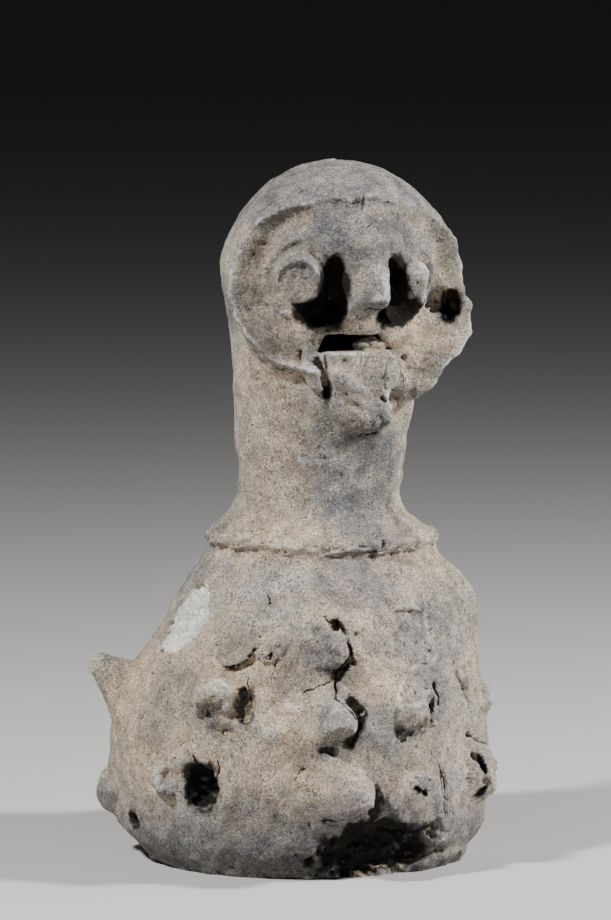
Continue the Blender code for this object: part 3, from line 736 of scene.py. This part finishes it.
def studs(clay):
    """Every stud and disc of the pot: in front one by one, and the rows behind by rule."""
    for index, values in enumerate(STUDS):
        stud(clay, *values, seed=100 + 3 * index)
    for index, (angle, height, wide, tall, reach, rough) in enumerate(DISCS):
        pellet(clay, angle, height, angle, (wide, tall), reach, 0, rough, 300 + index)
    draws = np.random.default_rng(7)
    for height, first, last, count in BACK_ROWS:
        for angle in np.linspace(first, last, count):
            place = (angle + draws.uniform(-4, 4), height + draws.uniform(-4, 4))
            tip, reach = draws.uniform(8, 10), draws.uniform(7.5, 11.5)
            broken = (0.2, -0.6, 0.8, 3) if draws.uniform() < 0.5 else None
            stud(clay, *place, 15, tip, reach, 1, 1, -2, 0.9, broken, seed=200 + int(place[0]))


def pellet(clay, angle, height, facing, sizes, reach, lip, rough, seed):
    """A flat pellet of clay, with a raised lip along part of its edge if asked for."""
    spans, points, seen = clay.seat(angle, height, max(sizes) + reach + 8, facing)
    wobble = rough * fractal(points, 8, 4, seed, fade=0.65)
    radius = min(sizes)
    around = np.hypot(seen[..., 0] / sizes[0], seen[..., 1] / sizes[1]) * radius
    raised = 0.5 + 0.5 * np.cos(np.arctan2(seen[..., 0], seen[..., 1]) + 0.2)
    dip = eased(radius - 2 - around, -0.8, 0.8) * (0.15 + 0.85 * raised * raised)
    side = around - radius + 0.8 + wobble - 0.1 * (reach - seen[..., 2])
    face = seen[..., 2] - (reach + lip * (0.8 * raised - 1.6 * dip)) + 0.5 * wobble
    shape = np.hypot(np.maximum(side, 0), np.maximum(face, 0)) + np.minimum(np.maximum(side, face), 0)
    clay.join(spans, shape - 0.8, 1.2)


def bean(clay):
    """The figure's left eye: an upright bean with a flat facet on its outer side."""
    spans, points, seen = clay.seat(28.5, 275.5, 20, 14)
    seen[..., 0] += 0.1 * seen[..., 1]
    shape = (length(seen / (8, 11.6, 10.5)) - 1) * 7.8
    shape = np.maximum(shape, seen @ np.array([0.75, 0, 0.66]) - 6.4)
    clay.join(spans, shape + 0.5 * fractal(points, 8, 4, 95, fade=0.65), 1.4)


def side_lug(clay):
    """The long lug on the figure's right flank, its top level and its tip round."""
    turn = radians(-98)
    origin = on_wall(-98, 85)
    spans, points = clay.near(origin, 42)
    axes = np.array([(cos(turn), sin(turn), 0), (0, 0, 1), (sin(turn), -cos(turn), 0)])
    seen = (points - origin) @ axes.T
    shape = tapered(seen, (0, -5, -4), (0, 7.6, 12), 16, 6.4)
    shape = np.maximum(shape, seen[..., 1] - 13.4)
    clay.join(spans, shape + 0.4 * fractal(points, 9, 4, 51), 4)


def gouges(clay):
    """Pits with ragged edges, beside the studs and eyes."""
    for index, (angle, height, wide, tall, depth) in enumerate(GOUGES):
        spans, points, seen = clay.seat(angle, height, tall + 8, angle)
        shape = (length(seen / (wide, tall, depth)) - 1) * min(wide, depth)
        shape += 1.6 * fractal(points, 5, 4, 160 + index, fade=0.6)
        clay.cut(spans, np.maximum(shape, -seen[..., 2] - DEEPEST_GOUGE), 1)


def clefts():
    """Each straight stretch of the crevices: number, ends, the way out and half width."""
    for index, (path, half) in enumerate(CREVICES):
        corners = [on_wall(*step[:2]) + step[2] * wall_axes(*step[:2])[2] for step in path]
        for first, second in zip(corners, corners[1:]):
            yield index, first, second, wall_axes(*path[0][:2])[2], half


def crevices(clay):
    """Narrow clefts with torn sides."""
    for index, first, second, outward, half in clefts():
        sink = 1.6 * half * outward
        reach = 0.5 * length(second - first) + 4 * half + 2
        spans, points = clay.near(0.5 * (first + second), reach)
        wide = tapered(points, first, second, half, half)
        deep = tapered(points, first - sink, second - sink, 0.8 * half, 0.8 * half)
        ragged = min(0.55 * half, 1.3) * fractal(points, 4.5, 3, 180 + index, fade=0.65)
        clay.cut(spans, np.minimum(wide, deep) + ragged, 0.6)


def collar(clay):
    """The coil pressed on between neck and shoulder, pinched along its crest."""
    first, last = np.flatnonzero(np.abs(clay.axes[2] - COLLAR_HEIGHT) < 12)[[0, -1]]
    window = (slice(None), slice(None), slice(first, last + 1))
    points = np.stack(np.meshgrid(*clay.axes[:2], clay.axes[2][window[2]], indexing="ij"), axis=-1)
    reach, turn = [values[..., None] for values in clay.level(COLLAR_HEIGHT)]
    spot = np.stack([60 * np.sin(turn), 60 * np.cos(turn), 0 * turn], axis=-1)
    sway = fractal(spot, 30, 4, 31, fade=0.6)
    up = points[..., 2] - COLLAR_HEIGHT - 1.1 * (1 - np.cos(turn)) - 1.2 * sway
    lap = (turn * COLLAR_LAPS / pi + 1.1 * sway - 0.22 * up) % 1
    ledge = eased(lap, 0, 0.08) * (1 - lap)
    crest = COLLAR_RADIUS + sway + 3 * ledge - 1.2 - 1.4 * np.exp(-(lap / 0.06) ** 2)
    shape = np.hypot((reach - crest) / 1.3, up / np.where(up > 0, 1.35, 0.8)) - 3
    clay.join(window, shape + 0.45 * fractal(points, 4.5, 3, 33), 1.6)


def hollow(clay):
    """Takes out the space inside, with a wall left behind every pit."""
    wall = POT_WALL + (NECK_WALL - POT_WALL) * eased(HEIGHTS, CREASE_HEIGHT, NECK_HEIGHT)
    inner = RADII - wall * np.sqrt(1 + SLOPES ** 2) - 8 * eased(HEIGHTS, 3 * FLOOR, FLOOR)
    inner = smoothed(inner, 6)
    for k, height in enumerate(clay.axes[2]):
        reach, turn = clay.level(float(height))
        ripple = 0.5 * np.sin(5 * turn + 0.21 * height) + 0.5 * np.sin(0.55 * height + 2 * turn)
        if height > HEAD_HEIGHT:
            rise = (height - HEAD_HEIGHT) * (HEAD_RADIUS - NECK_WALL) / (CROWN_RISE - CROWN_WALL)
            space = np.hypot(reach, rise) - (HEAD_RADIUS - NECK_WALL) - ripple
        else:
            space = reach - np.interp(height, HEIGHTS, inner) - ripple
        space = np.maximum(space, FLOOR - height)
        space = np.maximum(space, clay.field[:, :, k] + LEAST_WALL)
        clay.field[:, :, k] = np.maximum(clay.field[:, :, k], -space)


def mouth(clay):
    """The slot through the face into the hollow, longer below, with rough clay in it."""
    shift = middle(MOUTH_HEIGHT)
    spans, points = clay.near((shift[0], shift[1] - 48, MOUTH_HEIGHT + 4), 34)
    across, up = points[..., 0] - shift[0], points[..., 2] - MOUTH_HEIGHT
    torn = 0.5 * fractal(points, 4, 3, 21)
    sides = (
        0.3 * torn - up,
        up - MOUTH_TALL + 0.02 * across + torn,
        0.95 * (0.3 * up - across - MOUTH_HALF + torn),
        0.72 * (0.95 * up + across - MOUTH_HALF + torn),
        np.abs(points[..., 1] - shift[1] + 50) - 28,
    )
    clay.cut(spans, np.maximum.reduce(sides), 0.7)
    centre = (shift[0] + 9, shift[1] - 36.5, 246.5)
    spans, points = clay.near(centre, 16)
    shape = (length((points - centre) / (9.5, 3.2, 3.2)) - 1) * 3
    clay.join(spans, shape + fractal(points, 3.5, 3, 23), 1)


def surface(clay):
    """The mesh of the clay's surface, in metres."""
    grid = openvdb.FloatGrid(BAND)
    grid.copyFromArray(np.clip(clay.field, -BAND, BAND))
    points, _, quads = grid.convertToPolygons(isovalue=0, adaptivity=0)
    corners = np.ascontiguousarray(quads).ravel().astype(np.int32)
    mesh = bpy.data.meshes.new("clay_surface")
    mesh.vertices.add(len(points))
    mesh.vertices.foreach_set("co", (0.001 * (points * clay.step + clay.low)).astype(np.float32).ravel())
    mesh.loops.add(len(corners))
    mesh.loops.foreach_set("vertex_index", corners)
    mesh.polygons.add(len(quads))
    mesh.polygons.foreach_set("loop_start", np.arange(0, len(corners), 4, dtype=np.int32))
    mesh.update(calc_edges=True)
    mesh.validate()
    return mesh


# Marks of hands and wear on the surface

def places(mesh):
    """The mesh's points and normals in millimetres."""
    points, normals = np.empty((2, 3 * len(mesh.vertices)), dtype=np.float32)
    mesh.vertices.foreach_get("co", points)
    mesh.vertex_normals.foreach_get("vector", normals)
    return 1000 * points.reshape(-1, 3), normals.reshape(-1, 3)


def polar_of(points):
    """Angle, height and distance from the leaning middle for each point."""
    shift = middle(points[:, 2])
    across, ahead = points[:, 0] - shift[0], points[:, 1] - shift[1]
    return np.degrees(np.arctan2(across, -ahead)), points[:, 2], np.hypot(across, ahead)


def outside_share(points, normals):
    """1 on the outer skin and 0 on the walls of the hollow."""
    _, height, reach = polar_of(points)
    core = np.clip(height, 60, HEAD_HEIGHT)
    offset = points - np.stack([*middle(core), core], axis=-1)
    facing = np.einsum("ij,ij->i", normals, offset) / length(offset)
    radius = np.where(height > HEAD_HEIGHT, HEAD_RADIUS, np.interp(height, HEIGHTS, RADII))
    depth = radius - np.hypot(reach, np.maximum(height - HEAD_HEIGHT, 0) * HEAD_RADIUS / CROWN_RISE)
    return 1 - eased(depth, 2.5, 4.5) * eased(facing, 0.15, -0.15)


def rough_share(points):
    """1 where the clay is torn or broken, 0 where it was wiped smooth."""
    share = read_map(TORN, points)
    for mask in SCAR_MASKS:
        share = np.maximum(share, 0.7 * read_map(mask, points))
    for angle, height, foot, _, _, _, _, _, rough, _ in STUDS:
        if rough > ROUGH_STUD:
            away = length(points - on_wall(angle, height))
            share = np.maximum(share, eased(away, foot + 3, foot - 4))
    return share


def hand_worked(mesh):
    """Moves the outer skin by the marks of hands, grit, wiping and wear."""
    points, normals = places(mesh)
    angle, height, _ = polar_of(points)
    rough = rough_share(points)
    wiped = np.stack([np.radians(angle) * 60, 0 * angle, height], axis=-1)
    slanted = wiped @ np.array([[0.3, 0, -0.7], [0, 1, 0], [0.12, 0, 0.5]])
    move = 0.42 * fractal(points, 15, 2, 1)
    move += 0.34 * fractal(points, 5.5, 3, 4, fade=0.6) * (0.7 + rough)
    move += 0.24 * fractal(wiped * (0.1, 1, 0.9), 2.6, 3, 7) * eased(height, 120, 165)
    move += 0.26 * fractal(slanted, 2.6, 3, 8) * eased(height, 150, 120)
    move += rough * 0.7 * fractal(points, 3.6, 3, 9, fade=0.65)
    move -= 0.75 * pits(points, 9, 0.45, 15)
    move -= 0.6 * pits(points + 3.3, 5, 0.35, 25)
    moved = points + normals * (move * outside_share(points, normals))[:, None]
    moved[:, 2] = np.maximum(moved[:, 2], 0)
    mesh.vertices.foreach_set("co", (0.001 * moved).astype(np.float32).ravel())
    mesh.update()


def thinned(mesh, triangles):
    """The same surface with fewer, better placed triangles."""
    carrier = placed("carrier", mesh)
    decimate = carrier.modifiers.new("thin", "DECIMATE")
    decimate.ratio = min(1, triangles / (2 * len(mesh.polygons)))
    graph = bpy.context.evaluated_depsgraph_get()
    result = bpy.data.meshes.new_from_object(carrier.evaluated_get(graph))
    bpy.data.objects.remove(carrier)
    bpy.data.meshes.remove(mesh)
    return result


def drop_crumbs(mesh):
    """Keeps the one large shell, without the loose crumbs of ragged pits."""
    work = bmesh.new()
    work.from_mesh(mesh)
    unseen = set(work.verts)
    shells = []
    while unseen:
        shell = [unseen.pop()]
        for corner in shell:
            beside = {edge.other_vert(corner) for edge in corner.link_edges} & unseen
            unseen -= beside
            shell.extend(beside)
        shells.append(shell)
    shells.sort(key=len)
    bmesh.ops.delete(work, geom=[corner for shell in shells[:-1] for corner in shell], context="VERTS")
    work.to_mesh(mesh)
    work.free()


def hollowness(mesh, rounds):
    """How far each point lies below its surroundings, in millimetres."""
    points, normals = places(mesh)
    ends = np.empty(2 * len(mesh.edges), dtype=np.int32)
    mesh.edges.foreach_get("vertices", ends)
    count = np.bincount(ends, minlength=len(points))[:, None]
    first, second = ends.reshape(-1, 2).T
    even = points.copy()
    for _ in range(rounds):
        total = np.zeros_like(even)
        for axis in range(3):
            total[:, axis] = np.bincount(first, even[second, axis], len(points))
            total[:, axis] += np.bincount(second, even[first, axis], len(points))
        even = 0.5 * even + 0.5 * total / count
    return np.einsum("ij,ij->i", even - points, normals)


def highest(values, low, high):
    """How far each value lies among the highest, between two percentiles."""
    return eased(values, *np.percentile(values, (low, high)))


def pit_shade_share(points):
    """Painted shade: 1 inside the deep pits, sockets and crevices, fading out at their edges."""
    share = np.zeros(len(points))
    ragged = 0.22 * fractal(points, 4, 3, 85)
    for angle, height, wide, tall, depth in GOUGES:
        seen = (points - on_wall(angle, height)) @ wall_axes(angle, height).T / (wide, tall, depth)
        edge = SOCKET_SHADE_EDGE if depth > 10 and height > CREASE_HEIGHT else PIT_SHADE_EDGE
        away = length(seen) + ragged
        share = np.maximum(share, eased(depth, 1, 5) * eased(away, edge + 0.25, edge))
    for _, first, second, _, half in clefts():
        away = tapered(points, first, second, half, half)
        share = np.maximum(share, eased(away, 0.5 + 0.3 * half, 0.2 * half))
    return share


def paint(mesh, **layers):
    """Stores numbers for each point under names that the material reads."""
    for name, values in layers.items():
        layer = mesh.attributes.new(name, "FLOAT", "POINT")
        layer.data.foreach_set("value", np.clip(values, 0, 1).astype(np.float32))


def painted(mesh):
    """Stores where the clay is worn, dusty, smoked, torn, scarred and cracked, and its painted shade and
    highlights.
    """
    points, normals = places(mesh)
    fine, broad = hollowness(mesh, 3), hollowness(mesh, 30)
    skin = outside_share(points, normals)
    # Painted shade: the pits, sockets and crevices, the deepest hollows and the torn foot go near black
    pit = pit_shade_share(points)
    worn = 0.7 * highest(-fine, 96, 99.7) + 0.5 * highest(-broad, 97, 99.6)
    deep = np.maximum(highest(fine, 95.5, 99.3), highest(broad, 95, 99))
    torn = 0.95 * eased(read_map(TORN, points) * (1 + 0.35 * fractal(points, 4, 3, 83)), 0.15, 0.6)
    smoke = 0.7 * eased(0.5 + 0.5 * fractal(points, 38, 3, 81), 0.55, 0.95)
    paint(
        mesh,
        wear=np.maximum(worn, 0.9 * read_map(CREST, points)) * skin,
        proud=highest(-broad, 55, 97),
        dust=highest(broad, 50, 92),
        # painted shade, near black in deep hollows, pits and the torn foot
        dark=np.maximum(np.maximum(deep, torn) * skin, pit),
        crack=read_map(CRACK, points) * skin,
        crack_side=0.5 + 0.5 * read_map(CRACK_SIDE, points) / CRACK_REACH,
        # pale scars and worn lines, with painted highlights on the face
        pale=read_map(pale_and_highlight_map(), points) * skin,
        # warm tan, on the figure's left cheek partly painted light
        warm=read_map(patch_map(WARM_PATCHES), points),
        inside=(1 - skin) * (1 - pit),
        # smoke, with painted shade under the nose and towards the foot
        smoke=np.maximum(smoke, read_map(patch_map(SMOKED_AND_SHADED_PATCHES), points)),
    )


# Materials

class Nodes:
    """A short way to add and join a material's nodes."""

    def __init__(self, name):
        self.material = bpy.data.materials.new(name)
        self.material.use_nodes = True
        self.tree = self.material.node_tree
        self.shader = self.tree.nodes["Principled BSDF"]
        self.place = self.add("ShaderNodeTexCoord").outputs["Object"]

    def add(self, kind, *values, **settings):
        """A node of a kind with its settings, and the values of its first inputs."""
        node = self.tree.nodes.new(kind)
        for key, value in settings.items():
            setattr(node, key, value)
        for value, socket in zip(values, node.inputs):
            self.put(value, socket)
        return node

    def put(self, value, socket):
        """Joins an output to an input, or sets a plain number or colour on it."""
        if isinstance(value, bpy.types.NodeSocket):
            self.tree.links.new(value, socket)
        else:
            socket.default_value = (*value, 1) if socket.type == "RGBA" else value

    def lumps(self, size, detail, roughness, place=None, distortion=0):
        """Noise with lumps of about the given size in metres, from 0 to 1."""
        node = self.add("ShaderNodeTexNoise", place or self.place)
        values = {"Scale": 1 / size, "Detail": detail, "Roughness": roughness, "Distortion": distortion}
        for name, value in values.items():
            node.inputs[name].default_value = value
        return node.outputs["Fac"]

    def stored(self, name, share=1):
        """A number stored on the mesh, or a share of it."""
        return self.times(self.add("ShaderNodeAttribute", attribute_name=name).outputs["Fac"], share)

    def ranged(self, value, low, high, start=0, end=1):
        """A value moved smoothly from one range to another and kept inside it."""
        kind, shape = "ShaderNodeMapRange", "SMOOTHSTEP"
        return self.add(kind, value, low, high, start, end, interpolation_type=shape).outputs[0]

    def math(self, operation, first, second):
        """Two numbers put together."""
        return self.add("ShaderNodeMath", first, second, operation=operation).outputs[0]

    def times(self, first, second):
        """Two numbers multiplied."""
        return self.math("MULTIPLY", first, second)

    def mix(self, share, first, second, blend="MIX"):
        """Two colours mixed by a share."""
        node = self.add("ShaderNodeMix", share, data_type="RGBA", blend_type=blend)
        self.put(first, node.inputs[6])
        self.put(second, node.inputs[7])
        return node.outputs[2]

    def layered(self, colour, *layers):
        """A colour with others laid over it, each by its share."""
        for share, over in layers:
            colour = self.mix(share, colour, over)
        return colour

    def multiplied(self, colour, share):
        """A colour made darker or lighter by a number."""
        return self.mix(1, colour, share, blend="MULTIPLY")


TAN = (0.350, 0.285, 0.212)
GREY = (0.270, 0.255, 0.232)
BLUISH = (0.190, 0.195, 0.200)
OCHRE = (0.450, 0.325, 0.195)
# Tone of smoke, and of the painted shade under the nose and near the foot
SMOKED_AND_SHADED = (0.102, 0.099, 0.099)
WORN = (0.560, 0.550, 0.530)
# Pale of scars, also used for painted highlights
SCARRED_AND_HIGHLIGHT = (0.700, 0.680, 0.640)
# Near black of soot specks and cracks, and of the painted shade
SOOT_AND_SHADE = (0.010, 0.009, 0.008)
INNER = (0.380, 0.235, 0.130)


def crack_lines(nodes):
    """1 on the thin black line along each crack and 0 beside it."""
    away = nodes.math("SUBTRACT", nodes.stored("crack_side"), 0.5)
    away = nodes.times(nodes.math("ABSOLUTE", away, 0), 2 * CRACK_REACH)
    sway = nodes.times(nodes.lumps(0.002, 3, 0.7), 0.9)
    half = nodes.stored("crack", 0.65)
    return nodes.ranged(nodes.math("ADD", away, nodes.math("SUBTRACT", sway, half)), 0.55, 0.15)


def clay_material():
    """Low-fired clay: tan and grey, smoked, dusty in hollows, worn pale on its edges, with painted shade
    and highlights.
    """
    nodes = Nodes("fired_clay")
    lumps, ranged, stored = nodes.lumps, nodes.ranged, nodes.stored
    colour = nodes.layered(
        GREY,
        (ranged(lumps(0.03, 5, 0.66), 0.36, 0.64, 0.15, 0.95), TAN),
        (ranged(lumps(0.0065, 6, 0.74, distortion=0.3), 0.5, 0.66, 0, 0.6), OCHRE),
        (ranged(lumps(0.0043, 6, 0.74), 0.5, 0.64, 0, 0.55), BLUISH),
        (stored("dust", 0.35), OCHRE),
        # warm tan, on the figure's left cheek partly painted light
        (stored("warm", 0.45), OCHRE),
        (stored("proud", 0.4), BLUISH),
        # smoke, with painted shade under the nose and towards the foot
        (stored("smoke", ranged(lumps(0.012, 5, 0.7), 0.3, 0.7, 0.5, 1.15)), SMOKED_AND_SHADED),
        # pale scars and worn lines, with painted highlights on the face
        (stored("pale"), SCARRED_AND_HIGHLIGHT),
    )
    colour = nodes.multiplied(colour, ranged(lumps(0.008, 5, 0.75), 0.34, 0.66, 0.68, 1.28))
    grain = ranged(lumps(0.0009, 2, 0.85), 0.32, 0.68, 0.3, 1.7)
    coarse = ranged(lumps(0.009, 4, 0.7), 0.38, 0.62, 0.45, 1)
    colour = nodes.mix(coarse, colour, nodes.multiplied(colour, grain))
    lying = nodes.add("ShaderNodeMapping", nodes.place)
    lying.inputs["Scale"].default_value = (1, 1, 4.5)
    streaks = lumps(0.0022, 4, 0.7, place=lying.outputs["Vector"])
    colour = nodes.multiplied(colour, ranged(streaks, 0.35, 0.65, 0.8, 1.18))
    specks = ranged(lumps(0.0019, 4, 0.75, distortion=0.5), 0.6, 0.68, 0, 0.9)
    wear = stored("wear", ranged(lumps(0.005, 5, 0.75), 0.46, 0.58))
    crack = crack_lines(nodes)
    colour = nodes.layered(
        colour,
        (ranged(lumps(0.0016, 3, 0.7), 0.62, 0.72, 0, 0.65), WORN),
        (specks, SOOT_AND_SHADE),
        (wear, WORN),
        (stored("inside", 0.9), INNER),
        # painted shade in hollows, pits and the torn foot
        (stored("dark", 0.98), SOOT_AND_SHADE),
        (crack, SOOT_AND_SHADE),
    )
    height = nodes.math("ADD", nodes.times(lumps(0.002, 5, 0.8), 1.1), nodes.times(specks, -0.35))
    height = nodes.math("ADD", height, nodes.times(crack, -0.8))
    bump = nodes.add("ShaderNodeBump")
    nodes.put(height, bump.inputs["Height"])
    bump.inputs["Strength"].default_value = 0.9
    bump.inputs["Distance"].default_value = 0.0012
    looks = {
        "Base Color": colour,
        "Roughness": ranged(wear, 0, 1, 0.86, 0.58),
        # painted shade keeps little specular, so it stays near black
        "Specular IOR Level": ranged(stored("dark"), 0, 1, 0.35, 0.03),
        "Normal": bump.outputs["Normal"],
    }
    for name, value in looks.items():
        nodes.put(value, nodes.shader.inputs[name])
    return nodes.material


# Scene

def vessel():
    """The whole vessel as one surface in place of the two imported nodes."""
    clay = Clay(STEP)
    studs(clay)
    side_lug(clay)
    collar(clay)
    gouges(clay)
    pellet(clay, -39, 279.3, -26, (10.8, 11), 7, 1, 0.8, 91)
    bean(clay)
    crevices(clay)
    hollow(clay)
    mouth(clay)
    mesh = surface(clay)
    hand_worked(mesh)
    mesh = thinned(mesh, TRIANGLES)
    drop_crumbs(mesh)
    mesh.name = "clay_vessel"
    mesh.shade_smooth()
    painted(mesh)
    mesh.materials.clear()
    mesh.materials.append(clay_material())
    return placed("clay_vessel", mesh)


def placed(name, data):
    """A new object of the scene."""
    made = bpy.data.objects.new(name, data)
    bpy.context.scene.collection.objects.link(made)
    return made


def direction(azimuth, elevation):
    """The way out from the vessel, azimuth 0 in front and rising towards +X."""
    turn, rise = radians(azimuth), radians(elevation)
    return Vector((sin(turn) * cos(rise), -cos(turn) * cos(rise), sin(rise)))


def looking(made, way):
    """Turns a lamp or camera to look one way."""
    made.rotation_euler = way.to_track_quat("-Z", "Y").to_euler()


def lamp(name, azimuth, elevation, size, power):
    """A square soft light aimed at the vessel."""
    data = bpy.data.lights.new(name, "AREA")
    data.size = size
    data.energy = power
    made = placed(name, data)
    made.location = Vector((0, 0, AIM_HEIGHT)) + LAMP_DISTANCE * direction(azimuth, elevation)
    looking(made, -direction(azimuth, elevation))


def studio():
    """A plain pale floor, soft lights and a dim sky."""
    nodes = Nodes("studio_floor")
    nodes.shader.inputs["Base Color"].default_value = (0.4, 0.39, 0.38, 1)
    nodes.shader.inputs["Roughness"].default_value = 0.9
    mesh = bpy.data.meshes.new("studio_floor")
    corners = [(x * FLOOR_HALF, y * FLOOR_HALF, 0) for x, y in ((-1, -1), (1, -1), (1, 1), (-1, 1))]
    mesh.from_pydata(corners, [], [(0, 1, 2, 3)])
    mesh.materials.append(nodes.material)
    floor = placed("studio_floor", mesh)
    lamp("key_light", -68, 42, 0.12, 45)
    lamp("side_light", 62, 30, 0.14, 54)
    world = bpy.data.worlds.new("studio")
    world.use_nodes = True
    world.node_tree.nodes["Background"].inputs["Color"].default_value = (0.97, 0.98, 1, 1)
    world.node_tree.nodes["Background"].inputs["Strength"].default_value = 0.02
    bpy.context.scene.world = world


def camera():
    """The photograph's view: from the figure's right, a little above."""
    data = bpy.data.cameras.new("view")
    data.sensor_fit = "VERTICAL"
    data.sensor_height = SENSOR
    data.sensor_width = SENSOR
    data.lens = SENSOR * FOCAL_PIXELS / PHOTO_ROWS
    data.clip_end = 200
    made = placed("view", data)
    made.location = VIEW_DISTANCE * direction(VIEW_TURN, 0) + VIEW_SLIP * direction(VIEW_TURN + 90, 0)
    made.location.z = VIEW_HEIGHT
    looking(made, -direction(VIEW_TURN, VIEW_PITCH))
    bpy.context.scene.camera = made


camera()
studio()
figure = vessel()
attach(figure, "root")
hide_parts("vessel_body", "head_and_neck")
